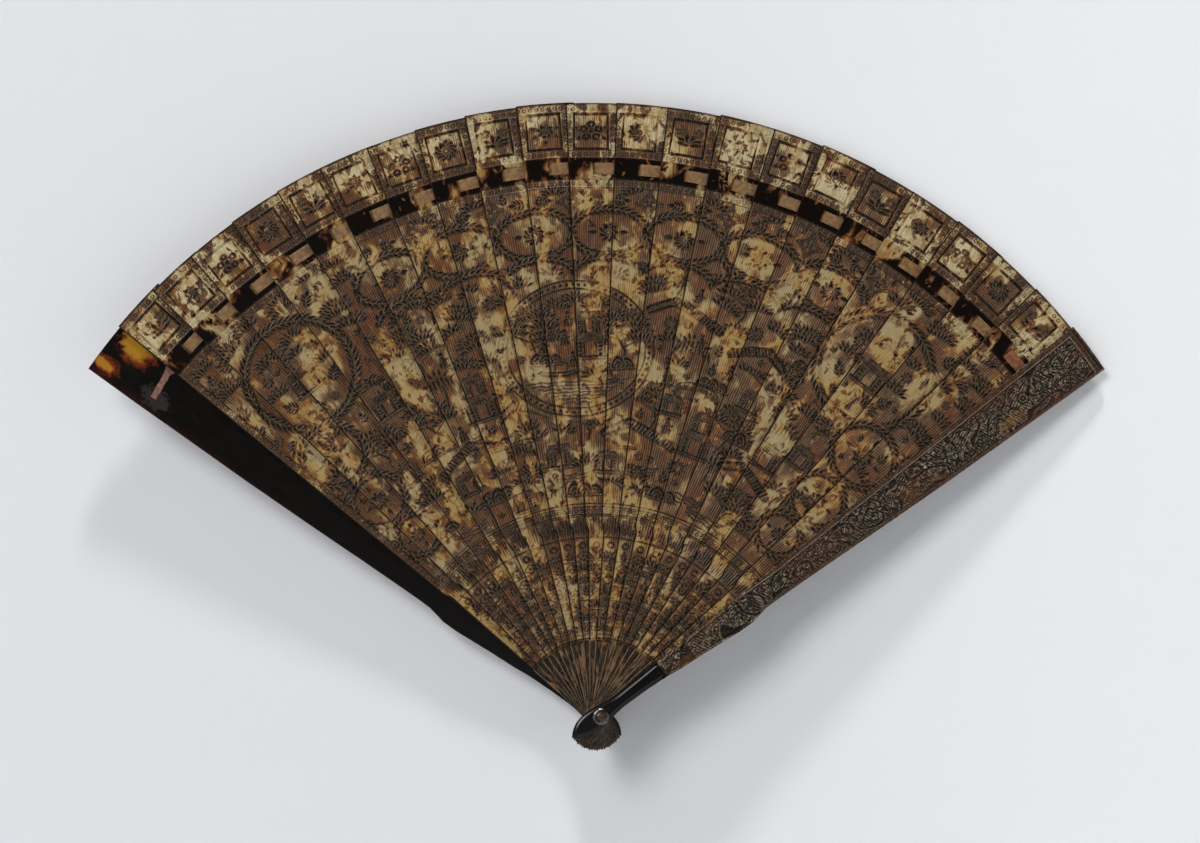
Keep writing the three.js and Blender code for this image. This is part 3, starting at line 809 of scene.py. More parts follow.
def panel_motif(leaf, u, v):
    """A flower in some panels and a sprig of leaves in the others."""
    kind = (leaf * 5) % 4
    if kind not in panel_maps:
        relief = panel_maps[kind] = Relief(*PANEL_MAP, PANEL_MAP_CELL)
        p = Place(relief, 0, 0)
        if kind == 0:
            p.leaf(-2.6, -0.6, -100, 1.7, 1.0)
            p.leaf(2.6, 0.4, 80, 1.7, 1.0)
            daisy(p, 2.9, 11)
        elif kind == 1:
            for turn in (-62, -20, 22, 64):
                p.leaf(0.3, -1.6, turn, 3.6, 1.2)
            for turn in (-80, 80):
                p.leaf(0.3, -1.9, turn, 3.2, 1.0)
            blossom(p.at(-1.9, 1.7), 1.2)
            blossom(p.at(2.2, 1.5), 1.2)
        elif kind == 2:
            for turn in (-118, -72, 72, 118, 180):
                p.leaf(0.3, 0.1, turn, 3.7, 1.15)
            daisy(p.at(0.3, 0.2), 2.1, 8)
        else:
            for side in (-1, 1):
                p.leaf(side * 1.6, -1.2, side * 115, 2.2, 1.1)
                p.leaf(side * 1.6, 0.4, side * 70, 2.2, 1.1)
            for u0, v0 in ((0, 1.7), (1.7, 0.5), (-1.7, 0.5), (1.1, -1.4), (-1.1, -1.4)):
                p.lump(u0, v0, 1.05, 0.95, groove=0.2)
                p.disc(u0, v0, 0.26, cut=True)
            p.disc(0, 0.1, 0.6, groove=0.2)
    return panel_maps[kind].sample(u, v)


# Outlines
def stick_half(r):
    """Half the stick's width at a distance from the rivet."""
    foot, top = GORGE - SHOULDER_RISE / 2, GORGE + SHOULDER_RISE / 2
    blade = SHOULDER_HALF + (STICK_HALF - SHOULDER_HALF) * (r - top) / (RIM - top)
    shank = NECK_HALF + (GORGE_HALF - NECK_HALF) * (r - NECK_RADIUS) / (foot - NECK_RADIUS)
    t = eased((r - foot) / SHOULDER_RISE)
    return np.where(r >= top, blade, np.where(r <= foot, shank, GORGE_HALF * (1 - t) + SHOULDER_HALF * t))


def guard_half(r, side):
    """Half the guard's width on one side at a distance from the rivet."""
    radii, halves = zip(*GUARD_HALVES[side])
    return np.interp(r, radii, halves)


def bezier(p0, p1, p2, p3, steps):
    """Points along a curve from p0 to p3 that leaves towards p1 and arrives from p2."""
    t = np.linspace(0, 1, steps + 1)[:, None]
    p0, p1, p2, p3 = (np.array(p, float) for p in (p0, p1, p2, p3))
    return (1 - t) ** 3 * p0 + 3 * t * (1 - t) ** 2 * p1 + 3 * t * t * (1 - t) * p2 + t ** 3 * p3


def head_side(half, neck, steps=9):
    """One side of a head, from its tip up to the neck."""
    widest = (half, -0.3 * HEAD_LENGTH)
    low = bezier((0, -HEAD_LENGTH), (0.3 * half, -0.92 * HEAD_LENGTH), (half, -0.72 * HEAD_LENGTH),
                 widest, steps)
    high = bezier(widest, (half, 0.25 * NECK_RADIUS), (neck, 0.5 * NECK_RADIUS), (neck, NECK_RADIUS), steps)
    return np.vstack([low, high[1:]])


def on_arc(x, r):
    """Points at x across, at a distance from the rivet."""
    return np.stack([x, np.sqrt(r * r - x * x)], -1)


def outward(line, closed=False):
    """Unit vectors to the right of a line's direction."""
    along = np.roll(line, -1, 0) - np.roll(line, 1, 0) if closed else np.gradient(line, axis=0)
    across = np.stack([along[:, 1], -along[:, 0]], 1)
    return across / np.linalg.norm(across, axis=1)[:, None]


def to_outline(points, half_at, side, edge):
    """Points on the inset side of a leaf, moved out to its outline."""
    r = np.hypot(points[:, 0], points[:, 1])
    return on_arc(side * half_at(r), np.where(r > RIM - edge * 1.01, RIM, r))


def circle(radius, steps=ROUND_STEPS):
    """Points round the rivet's axis, anticlockwise."""
    a = np.arange(steps) * 2 * math.pi / steps
    return np.stack([radius * np.cos(a), radius * np.sin(a)], 1)


def rows_between(low, high, step):
    """Even distances from low to high, about a step apart."""
    return np.linspace(low, high, max(2, int(round((high - low) / step))) + 1)


# Mesh building
class Shell:
    """Collects points and faces, then welds them into one closed mesh.

    A point is a row of x, y, z, the share of thickness left there, and a mark for the material.
    """

    def __init__(self):
        self.points, self.faces, self.count = [], [], 0

    def add(self, points):
        """Adds points and returns their numbers in the same arrangement."""
        self.points.append(points.reshape(-1, 5))
        start, self.count = self.count, self.count + len(self.points[-1])
        return np.arange(start, self.count).reshape(points.shape[:-1])

    def loop(self, points, z, mark=0.0):
        """Adds points of full thickness at one height, or each at its own."""
        rows = np.ones((len(points), 5))
        rows[:, :2], rows[:, 2], rows[:, 4] = points, z, mark
        return self.add(rows)

    def cells(self, ids, up=True):
        """Faces between the rows and columns of a grid."""
        quads = np.stack([ids[:-1, :-1], ids[:-1, 1:], ids[1:, 1:], ids[1:, :-1]], -1).reshape(-1, 4)
        self.faces.append(quads if up else quads[:, ::-1])
        return ids

    def strip(self, near, far, closed=True):
        """Walls from a loop near the front to one further back. Loops run anticlockwise from the front."""
        if closed:
            near, far = np.append(near, near[0]), np.append(far, far[0])
        self.faces.append(np.stack([near[:-1], far[:-1], far[1:], near[1:]], 1))

    def bridge(self, low, high):
        """Joins a row to one with twice as many cells."""
        a, b = low[:-1], low[1:]
        c, d, e = high[0:-2:2], high[1:-1:2], high[2::2]
        for corners in ((a, b, d), (a, d, c), (b, e, d)):
            self.faces.append(np.stack(corners, 1))

    def flat(self, outer, holes, z, up=True, mark=0.0):
        """Fills a flat loop that has holes. All run anticlockwise."""
        coords, loops = [], []
        for loop in [outer] + holes:
            loops.append(list(range(len(coords), len(coords) + len(loop))))
            coords += [Vector((float(a), float(b))) for a, b in loop]
        corners, _, faces, _, _, origins = delaunay_2d_cdt(coords, [], loops, 1, 1e-7, True)
        ids = self.loop([tuple(corner) for corner in corners], z, mark)
        kept = [face if up else face[::-1] for face, own in zip(faces, origins) if list(own) == [0]]
        self.faces.append(ids[np.array(kept)])

    def welded(self):
        """The points without doubles, and the quads and triangles that are left between them."""
        points = np.vstack(self.points)
        key = np.round(points[:, :3] * 2e3).astype(np.int64)
        key = (key[:, 0] * 1_000_003 + key[:, 1]) * 1_000_003 + key[:, 2]
        _, first, back = np.unique(key, return_index=True, return_inverse=True)
        kept = {3: [np.zeros((0, 3), int)], 4: [np.zeros((0, 4), int)]}
        for faces in self.faces:
            faces = back[faces]
            whole = np.all(faces != np.roll(faces, 1, axis=1), axis=1)
            kept[faces.shape[1]].append(faces[whole])
            if faces.shape[1] == 4:
                shrunk = [list(dict.fromkeys(face)) for face in faces[~whole].tolist()]
                kept[3] += [np.array([face]) for face in shrunk if len(face) == 3]
        return points[first], np.vstack(kept[4]), np.vstack(kept[3])

    def build(self, name, place, material, seed=None, mirrored=False, smooth_over=42):
        """Makes the object. seed tells one leaf's pattern from another's."""
        points, quads, tris = self.welded()
        corners = np.concatenate([quads.ravel(), tris.ravel()])
        totals = np.concatenate([np.full(len(quads), 4), np.full(len(tris), 3)])
        mesh = bpy.data.meshes.new(name)
        mesh.vertices.add(len(points))
        mesh.loops.add(len(corners))
        mesh.polygons.add(len(totals))
        mesh.vertices.foreach_set("co", (place(points[:, :3]) * MM).astype(np.float32).ravel())
        mesh.loops.foreach_set("vertex_index", corners.astype(np.int32))
        mesh.polygons.foreach_set("loop_start", (np.cumsum(totals) - totals).astype(np.int32))
        mesh.polygons.foreach_set("loop_total", totals.astype(np.int32))
        mesh.polygons.foreach_set("use_smooth", np.ones(len(totals), bool))
        mesh.update(calc_edges=True)
        leaf = points[:, :3] * ((-1 if mirrored else 1), 1, 1)
        if seed is not None:
            leaf[:, 2] = seed
        for label, kind, field, values in (("thick", "FLOAT", "value", points[:, 3]),
                                           ("mark", "FLOAT", "value", points[:, 4]),
                                           ("leaf", "FLOAT_VECTOR", "vector", leaf)):
            attribute = mesh.attributes.new(label, kind, "POINT")
            attribute.data.foreach_set(field, values.astype(np.float32).ravel())
        mesh.set_sharp_from_angle(angle=math.radians(smooth_over))
        mesh.materials.append(material)
        ob = bpy.data.objects.new(name, mesh)
        bpy.context.collection.objects.link(ob)
        return ob


def leaf_place(leaf, height, flip=False):
    """Takes points of a leaf's own frame to the fan: x across, y outwards, z towards the front."""
    loose = 1 <= leaf <= STICKS
    a = math.radians(angle_of(leaf) + (TURNS[leaf - 1] if loose else 0))
    reach = REACHES[leaf - 1] if loose else 0
    c, s = math.cos(a), math.sin(a)

    def place(p):
        x, y, z = p.T
        y = y + reach * np.clip((y - FIELD_START) / (RIM - FIELD_START), 0, 1)
        if flip:
            x, z = -x, -z
        return np.stack([x * c + y * s, -(z + height), -x * s + y * c], 1)
    return place


def line_at(d, width):
    """1 on a line and 0 beside it, from the distance to its middle."""
    return np.clip((width / 2 - np.abs(d)) / 0.12 + 0.5, 0, 1)


def ring_row(along, off, pitch=RING_PITCH):
    """Small raised rings in a row on a sunk strip."""
    from_middle = np.hypot(np.mod(along, pitch) - pitch / 2, off)
    return np.maximum(STRIP, line_at(from_middle - RING_RADIUS, RING_LINE))


def rim_panel(t, leaf, x, r):
    """The panel at the rim: ringed sides, a raised frame, a fine groove and the flower in the middle."""
    (left, right), (low, high) = PANEL_SIDES, PANEL
    side = np.maximum(ring_row(r - low, x - (left - 1.05)), ring_row(r - low, x - (right + 1.2)))
    side = np.maximum(side, line_at(x - right - 2.3, ROW_LINE))
    inset = np.minimum(np.minimum(x - left, right - x), np.minimum(r - low, high - r))
    inner = panel_motif(leaf, (x - (left + right) / 2) / 1.28, (r - (low + high) / 2) / 1.14)
    inner = np.where(inset < 0.58, 1.0, inner)
    side = np.where(inset > -0.22, 0.05, side)
    return np.where((r >= low) & (r <= high), np.where(inset > 0, inner, side), t)


def stick_relief(relief, leaf, x, r):
    """How much thickness is left on a stick's front at x across and r outwards."""
    phi = math.radians(angle_of(leaf))
    y = np.sqrt(np.maximum(r * r - x * x, 0))
    field = relief.sample(x * math.cos(phi) + y * math.sin(phi), -x * math.sin(phi) + y * math.cos(phi))
    blade = (r > GORGE_ROW[1]) & (r < FIELD_END)
    shank = (r > CARVING_START + 0.3) & (r < GORGE_ROW[0])
    t = np.where(blade | shank, field, 1.0)
    for at, width in FINE_LINES:
        t = np.maximum(t, line_at(r - at, width))
    for low, high, pitch in RING_ROWS:
        strip = ring_row(x, r - (low + high) / 2, pitch)
        for at in (low + 0.1, high - 0.1):
            strip = np.maximum(strip, line_at(r - at, ROW_LINE))
        t = np.where((r > low) & (r < high), strip, t)
    t = rim_panel(t, leaf, x, r)
    if leaf == 1:
        # The first stick has a row of rings along its free edge
        off = x + stick_half(r) - 1.2
        edge = np.maximum(ring_row(r, off, 1.66), line_at(off - 0.95, ROW_LINE))
        t = np.where(blade & (off < 1.1), edge, t)
    # The edges keep their full thickness
    rim = np.minimum(stick_half(r) - np.abs(x), RIM - r)
    return np.maximum(t, np.clip((0.3 - rim) / 0.12, 0, 1))


def edge_shade(x, r):
    """1 at a stick's edge and 0 from two thirds of a millimetre inwards. The material paints shade along the
    edge and a highlight line beside it by this mark.
    """
    rim = np.minimum(stick_half(r) - np.abs(x), (RIM - r) * 1.4)
    return np.clip((0.66 - rim) / 0.44, 0, 1)


def carved_rows(shell, relief, leaf, sections):
    """A stick's carved front in rows of cells, each section twice as fine across as the one below it.

    Returns the left and right ends of the rows, and the lowest and the highest row.
    """
    grids = []
    for low, high, cols in sections:
        r = np.repeat(rows_between(low, high, CELL)[:, None], cols + 1, axis=1)
        x = np.linspace(-1, 1, cols + 1) * (stick_half(r) - EDGE)
        thick, shade = stick_relief(relief, leaf, x, r), edge_shade(x, r)
        # The rows that meet a plain part have its full thickness
        if not grids:
            thick[0], shade[0] = 1, 0
        if high == BAND[0]:
            thick[-1], shade[-1] = 1, 0
        grid = np.stack([x, np.sqrt(r * r - x * x), THICK - DEPTH * (1 - thick), thick, shade], -1)
        if grids:
            coarse, grid = shell.add(grids[-1][-1]), grid[1:]
            shell.bridge(coarse, shell.cells(shell.add(grid))[0])
        else:
            shell.cells(shell.add(grid))
        grids.append(grid)
    left, right = (np.vstack([grid[:, end, :2] for grid in grids]) for end in (0, -1))
    return left, right, grids[0][0, :, :2], grids[-1][-1, :, :2]


def make_stick(leaf, relief, material):
    shell = Shell()
    left_low, right_low, foot, band_low = carved_rows(shell, relief, leaf, (
        (CARVING_START, GORGE_ROW[0], COLUMNS),
        (GORGE_ROW[0], FINER, 2 * COLUMNS),
        (FINER, BAND[0], 4 * COLUMNS)))
    left_high, right_high, band_high, rim_row = carved_rows(shell, relief, leaf, (
        (BAND[1], RIM - EDGE, 4 * COLUMNS),))
    left, right = np.vstack([left_low, left_high]), np.vstack([right_low, right_high])
    rim_row = rim_row[::-1][1:-1]
    slot = np.array([(-1, -1), (-1, 1), (1, 1), (1, -1)])[::-1] * (SLOT_HALF, SLOT_REACH) + (0, RIBBON_RADIUS)
    hole = circle(HOLE)
    shell.flat(np.vstack([band_low, band_high[::-1]]), [slot], THICK)

    # The head, slimmer and less even than in the part's source, and the plain shank
    side = head_side(HEAD_HALF, NECK_HALF)
    side[1:4, 0] *= HEAD_SLIMMING
    side[:3, 1] -= np.array(TIP_SHARES) * TIP_UNEVEN * math.sin(leaf * 2.4)
    shank_r = rows_between(NECK_RADIUS, CARVING_START, 2.0)[1:-1]
    lower = np.vstack([side, on_arc(stick_half(shank_r), shank_r)])
    lower_in = lower - outward(lower) * EDGE
    lower_in[0] = (0, lower[0, 1] + EDGE * 1.6)

    def over_left(line):
        """The line on the left, from its top down to the point before the tip."""
        return (line * [-1, 1])[::-1][:-1]
    inset = np.vstack([lower_in, right, rim_row, left[::-1], over_left(lower_in)])
    outline = np.vstack([lower, to_outline(right, stick_half, 1, EDGE), rim_row * (RIM / (RIM - EDGE)),
                         to_outline(left, stick_half, -1, EDGE)[::-1], over_left(lower)])
    shell.flat(np.vstack([lower_in, foot[::-1], over_left(lower_in)]), [hole], THICK)
    rings = [shell.loop(inset, THICK), shell.loop(outline, THICK - EDGE, 1.0), shell.loop(outline, EDGE, 1.0),
             shell.loop(inset, 0.0)]
    for near, far in zip(rings, rings[1:]):
        shell.strip(near, far)
    shell.flat(inset, [hole, slot], 0.0, up=False)
    for opening in (hole[::-1], slot[::-1]):
        shell.strip(shell.loop(opening, THICK), shell.loop(opening, 0.0))
    place = leaf_place(leaf, height_of(leaf))
    return shell.build(f"carved_stick_{leaf:02d}", place, material, leaf * 41.0)


# The guard's frame: its widths on the left at the gorge, above it and at the rim, on the right above the
# gorge and below it, at the tip and at the foot. The marks tell the material where the frame and its lip are
FRAME_LEFT = (0.7, 1.35, 1.9)
FRAME_RIGHT = (0.95, 0.7)
FRAME_TIP = 2.9
FRAME_FOOT = 1.6
FRAME_MARK, LIP_MARK = 0.45, 0.58
TIP_LINES = (0.93, 1.87)


def guard_carving(relief, x, r):
    """How much thickness is left on a guard's outer face, and the marks of its frame and the frame's lip."""
    from_left, from_right, from_tip = x + guard_half(r, -1), guard_half(r, 1) - x, RIM - r
    border = np.minimum(from_left, from_right)
    left_inside = from_left - np.interp(r, (GORGE, GORGE + 12, RIM), FRAME_LEFT)
    right_inside = from_right - np.where(r > GORGE, *FRAME_RIGHT)
    ends = np.minimum(from_tip - FRAME_TIP, r - CARVING_START - FRAME_FOOT)
    inside = np.minimum(np.minimum(left_inside, right_inside), ends)
    t = np.where(inside < 0.1, 1.0, relief.sample(x, np.sqrt(r * r - x * x)))
    t = np.minimum(t, 1 - line_at(inside - 0.15, 0.3) * 0.95)
    # Fine cut lines along the frame and across the tip
    cuts = line_at(border - 0.5, 0.2) * 0.6 * (r > GORGE + 2)
    for at in TIP_LINES:
        cuts = np.maximum(cuts, line_at(from_tip - at, 0.35) * 0.9 * (border > 0.7))
    # A plain bar parts the field at the gorge
    t = np.maximum(np.minimum(t, 1 - cuts), line_at(r - GORGE - 1.5, 1.5))
    for side in (t[0], t[-1], t[:, 0], t[:, -1]):
        side[:] = 1
    on_frame = inside < 0.05
    lip = on_frame & (inside > -0.32) & (np.minimum(left_inside, from_tip - FRAME_TIP) <= right_inside)
    return t, np.where(on_frame & (r > GORGE), np.where(lip, LIP_MARK, FRAME_MARK), 0.0)


def guard_side(side, top):
    """One side of a guard's head and shank up to a point at the top, inset for each step of the slope."""
    r = rows_between(NECK_RADIUS, CARVING_START, 1.6)[1:]
    body = on_arc(guard_half(r, side), r)
    body[-1] = np.abs(top)
    head = head_side(HEAD_HALF - HEAD_LEAN * side, float(guard_half(NECK_RADIUS, side)))
    line = np.vstack([head, body])
    lines = []
    for inset, _ in SLOPE:
        inner = line - outward(line) * inset
        if inset:
            inner[0] = (0, -HEAD_LENGTH + 0.02 + 1.85 * inset)
            inner[-1] = line[-1] - (inset, 0)
        lines.append(inner * (side, 1))
    return lines


def guard_foot(shell, top_row):
    """The wall from the ledge of a guard's blade down to the rounded top of its thinner shank."""
    insets, drops = (np.array(values) for values in zip(*SLOPE))
    left, right = top_row[0, 0], top_row[-1, 0]
    x = np.concatenate([top_row[:, 0], left + insets[1:], right - insets[1:]])
    x = np.unique(np.round(x, 6))
    wall = np.stack([x, np.interp(x, *top_row.T)], 1)
    low = SHANK_THICK - np.interp(np.minimum(x - left, right - x), insets, drops)
    shell.strip(shell.loop(wall, GUARD_THICK - GUARD_EDGE), shell.loop(wall, low), closed=False)


def make_guard(name, leaf, height, flip, relief, material, seed):
    shell = Shell()
    r = np.repeat(rows_between(CARVING_START, RIM - GUARD_EDGE, CELL)[:, None], GUARD_COLUMNS + 1, axis=1)
    share = np.linspace(0, 1, GUARD_COLUMNS + 1)
    x = (guard_half(r, 1) - GUARD_EDGE) * share - (guard_half(r, -1) - GUARD_EDGE) * (1 - share)
    thick, mark = guard_carving(relief, x, r)
    front = np.stack([x, np.sqrt(r * r - x * x), GUARD_THICK - GUARD_DEPTH * (1 - thick), thick, mark], -1)
    shell.cells(shell.add(front))
    left, right, foot = front[:, 0, :2], front[:, -1, :2], front[0, :, :2]
    rim_row = front[-1, ::-1, :2][1:-1]
    rim_out = rim_row * (RIM / (RIM - GUARD_EDGE))
    out_left, out_right = (to_outline(line, lambda r, side=side: guard_half(r, side), side, GUARD_EDGE)
                           for line, side in ((left, -1), (right, 1)))
    ledge = np.vstack([out_left[:1], foot[1:-1], out_right[:1]])
    # The blade's sides, from its foot round the rim and back, and the ledge above the shank
    for inner, outer in ((np.vstack([right, rim_row, left[::-1]]),
                          np.vstack([out_right, rim_out, out_left[::-1]])), (foot, ledge)):
        shell.strip(shell.loop(inner, GUARD_THICK), shell.loop(outer, GUARD_THICK - GUARD_EDGE), closed=False)

    # Shank and head. The loops start after the top of the right side, so that the blade's foot stays open
    right_lines, left_lines = guard_side(1, out_right[0]), guard_side(-1, out_left[0])
    loops = [np.vstack([a, b[::-1][:-1]]) for a, b in zip(right_lines, left_lines)]
    rings = [shell.loop(loop, SHANK_THICK - drop) for loop, (_, drop) in zip(loops, SLOPE)]
    after_top = -len(right_lines[0])
    for far, near in zip(rings, rings[1:]):
        shell.strip(np.roll(near, after_top), np.roll(far, after_top), closed=False)
    hole = circle(HOLE)
    shell.flat(loops[-1], [hole], SHANK_THICK)
    guard_foot(shell, ledge)

    # One outline for the whole guard below the slopes, and the inner face
    outline = np.vstack([right_lines[0], out_right[1:], rim_out, out_left[::-1][:-1],
                         left_lines[0][::-1][:-1]])
    z = np.full(len(outline), GUARD_THICK - GUARD_EDGE)
    z[:len(right_lines[0]) - 1] = z[len(outline) - len(left_lines[0]) + 2:] = SHANK_THICK - SLOPE[0][1]
    high, low = shell.loop(outline, z), shell.loop(outline, GUARD_UNDER_EDGE)
    shell.strip(high, low)
    under = outline - outward(outline, closed=True) * GUARD_UNDER_EDGE
    shell.strip(low, shell.loop(under, 0.0, 1.0))
    shell.flat(under, [hole], 0.0, up=False, mark=1.0)
    shell.strip(shell.loop(hole[::-1], SHANK_THICK), shell.loop(hole[::-1], 0.0, 1.0))
    return shell.build(name, leaf_place(leaf, height, flip), material, seed, flip)


def make_ribbon(name, leaf, height, x_low, x_high, level, material, seed, torn=0.0):
    """A length of ribbon at a level, or up through the slot at x 0 where level is None.

    torn is the share of its width that is missing at the low end.
    """
    rng = np.random.default_rng(300 + seed)
    xs = np.linspace(x_low, x_high, RIBBON_CELLS[0] + 1)
    if level is None:
        xs = np.unique(np.concatenate([xs, np.linspace(-0.45, 0.45, 9)]))
    rise = eased((xs + 0.35) / 0.7) * (THICK + 2 * RIBBON_LIFT) - RIBBON_LIFT
    middle = (rise if level is None else np.full_like(xs, level))[:, None]
    wob = rng.random(6) * 6.28
    x, v = np.meshgrid(xs, np.linspace(-1, 1, RIBBON_CELLS[1] + 1), indexing="ij")
    # The ends are cut by hand, a little askew and frayed
    share = (x - x_low) / (x_high - x_low)
    askew = (rng.random() - 0.5) * 0.24 * v
    fray = 0.05 * np.sin(9 * v + wob[4]) + 0.03 * np.sin(23 * v + wob[5])
    x = x + (askew + fray) * np.clip(share * 8 - 7, 0, 1) - (askew + fray) * np.clip(1 - share * 8, 0, 1)
    wave = 0.012 * np.sin(x * 1.9 + wob[0]) * np.cos(v * 2.2 + wob[1])
    wave = wave + 0.01 * np.sin(v * 5 + x * 0.7 + wob[2])
    gone = torn * np.clip((0.92 - share) * 6, 0, 1)
    y = RIBBON_RADIUS + v * RIBBON_WIDTH / 2 * (1 + 0.012 * np.sin(x * 3.1 + wob[3])) * (1 - gone)
    y = y - torn * 3.0 * np.clip(0.8 - share, 0, 1) + torn * 0.16 * np.sin(x * 1.7 + v)
    half = RIBBON_HALF * np.sqrt(np.clip(1 - v ** 6 * 0.9, 0.1, 1))
    shell = Shell()
    full, plain = np.ones_like(x), np.zeros_like(x)
    top, low = (shell.add(np.stack([x, y, middle + wave + side * half, full, plain], -1)) for side in (1, -1))
    shell.cells(top.T)
    shell.cells(low.T, up=False)
    for near, far in ((top[0, ::-1], low[0, ::-1]), (top[-1], low[-1]), (top[:, 0], low[:, 0]),
                      (top[::-1, -1], low[::-1, -1])):
        shell.strip(near, far, closed=False)
    return shell.build(name, leaf_place(leaf, height), material, seed * 7.0, smooth_over=50)


def make_turned(name, profile, material, sign=1):
    """A turned piece on the rivet's axis from a closed profile of radius and height pairs."""
    shell = Shell()
    rings = [shell.loop(circle(radius, 3 * ROUND_STEPS), sign * height) for radius, height in profile]
    for near, far in zip(rings, rings[1:] + rings[:1]):
        shell.strip(near[::sign], far[::sign])
    return shell.build(name, lambda p: p[:, [0, 2, 1]] * (1, -1, 1), material, smooth_over=40)


# Materials
def srgb(r, g, b):
    """A colour in parts of 255 as the linear values that a node takes."""
    def linear(v):
        v /= 255
        return v / 12.92 if v <= 0.04045 else ((v + 0.055) / 1.055) ** 2.4
    return (linear(r), linear(g), linear(b), 1)


def operator(operation, swapped=False):
    """A method that joins a value with another one by a math node."""
    def join(self, other=0.0):
        first, second = (other, self) if swapped else (self, other)
        return self.tree.node("Math", 0, {0: first, 1: second}, operation=operation)
    return join


class Value:
    """A node's output. Sums, products and the like of values make the nodes that work them out."""

    __add__, __radd__ = operator("ADD"), operator("ADD", True)
    __sub__, __rsub__ = operator("SUBTRACT"), operator("SUBTRACT", True)
    __mul__, __rmul__ = operator("MULTIPLY"), operator("MULTIPLY", True)
    __truediv__ = operator("DIVIDE")
    larger, below = operator("MAXIMUM"), operator("LESS_THAN")
    sine, root, size = operator("SINE"), operator("SQRT"), operator("ABSOLUTE")

    def __init__(self, tree, socket):
        self.tree, self.socket = tree, socket

    def step(self, low, high, to_low=0.0, to_high=1.0):
        """Runs softly from one result at low to another at high. low may be the higher of the two."""
        inputs = {"Value": self, "From Min": low, "From Max": high, "To Min": to_low, "To Max": to_high}
        return self.tree.node("MapRange", "Result", inputs, interpolation_type="SMOOTHSTEP")

    def band(self, rise, full, wane, end):
        """1 between full and wane, and 0 beyond rise and end."""
        return self.step(rise, full) * self.step(end, wane)

    def towards(self, other, amount):
        return self + (other - self) * amount


class Tree:
    """Short calls for building the nodes of a material or of the world."""

    def __init__(self, owner):
        owner.use_nodes = True
        self.owner, self.nodes, self.links = owner, owner.node_tree.nodes, owner.node_tree.links

    def put(self, socket, value):
        """Links a value to a socket, or sets the socket to what is the same all over."""
        if isinstance(value, Value):
            self.links.new(value.socket, socket)
        else:
            socket.default_value = value

    def node(self, kind, output, inputs=None, **settings):
        """Makes a node and returns one of its outputs."""
        made = self.nodes.new("ShaderNode" + kind)
        for name, setting in settings.items():
            setattr(made, name, setting)
        for name, value in (inputs or {}).items():
            self.put(made.inputs[name], value)
        return Value(self, made.outputs[output])

    def mix(self, amount, a, b):
        return self.node("Mix", 2, {0: amount, 6: a, 7: b}, data_type="RGBA")

    def noise(self, scale, detail=3.0, rough=0.5, distort=0.0, stretch=None, shift=(0, 0, 0), over=None):
        """Noise over the leaf or another place, scaled across and along the leaf, and shifted."""
        where = over or self.leaf
        if stretch:
            where = self.node("Mapping", 0, {"Vector": where, "Scale": (*stretch, 1), "Location": shift})
        return self.node("TexNoise", "Fac", {"Vector": where, "Scale": scale, "Detail": detail,
                                             "Roughness": rough, "Distortion": distort})


class Skin(Tree):
    """The material of a piece. x runs across the leaf and y outwards, in millimetres."""

    def __init__(self, name):
        super().__init__(bpy.data.materials.new(name))
        self.leaf = self.node("Attribute", "Vector", attribute_name="leaf")
        self.x, self.y = (self.node("SeparateXYZ", axis, {0: self.leaf}) for axis in ("X", "Y"))

    def carved(self):
        """The share of thickness left, and the mark."""
        return [self.node("Attribute", "Fac", attribute_name=name) for name in ("thick", "mark")]

    def ramp(self, value, *stops):
        """A colour that follows a value. A stop is a position and the three parts of its colour."""
        made = self.node("ValToRGB", "Color", {"Fac": value})
        elements = made.socket.node.color_ramp.elements
        while len(elements) < len(stops):
            elements.new(0.5)
        for element, (at, *shade) in zip(elements, stops):
            element.position, element.color = at, srgb(*shade)
        return made

    def paint(self, amount, *shade):
        """Lays a colour over the one so far."""
        self.colour = self.mix(amount, self.colour, srgb(*shade))

    def finish(self, inputs, height, distance, strength):
        """Sets the shader's inputs and returns the material."""
        normal = self.node("Bump", 0, {"Height": height, "Distance": distance, "Strength": strength})
        for name, value in {"Base Color": self.colour, "Normal": normal, **inputs}.items():
            self.put(self.nodes["Principled BSDF"].inputs[name], value)
        return self.owner


RIB_PITCH = 0.66
WARP_PITCH, WEFT_PITCH = 0.28, 0.34
FULL_TURN = 2 * math.pi
# Glue marks and amber windows on the back guard: middle, radii, raggedness and colour
STAINS = ((5.2, 170.2, 4.4, 6.0, 2.0, (112, 48, 20)), (-3.8, 174.6, 2.6, 4.6, 2.0, (104, 42, 20)),
          (5.4, 170.6, 3.2, 4.8, 1.5, (166, 122, 36)), (-3.9, 175.0, 1.5, 3.3, 1.2, (170, 118, 34)),
          (-3.0, 157.0, 2.6, 4.4, 3.0, (50, 45, 42)))
AMBER_SPOT = (3.4, 146.5, 1.3, 4.2)


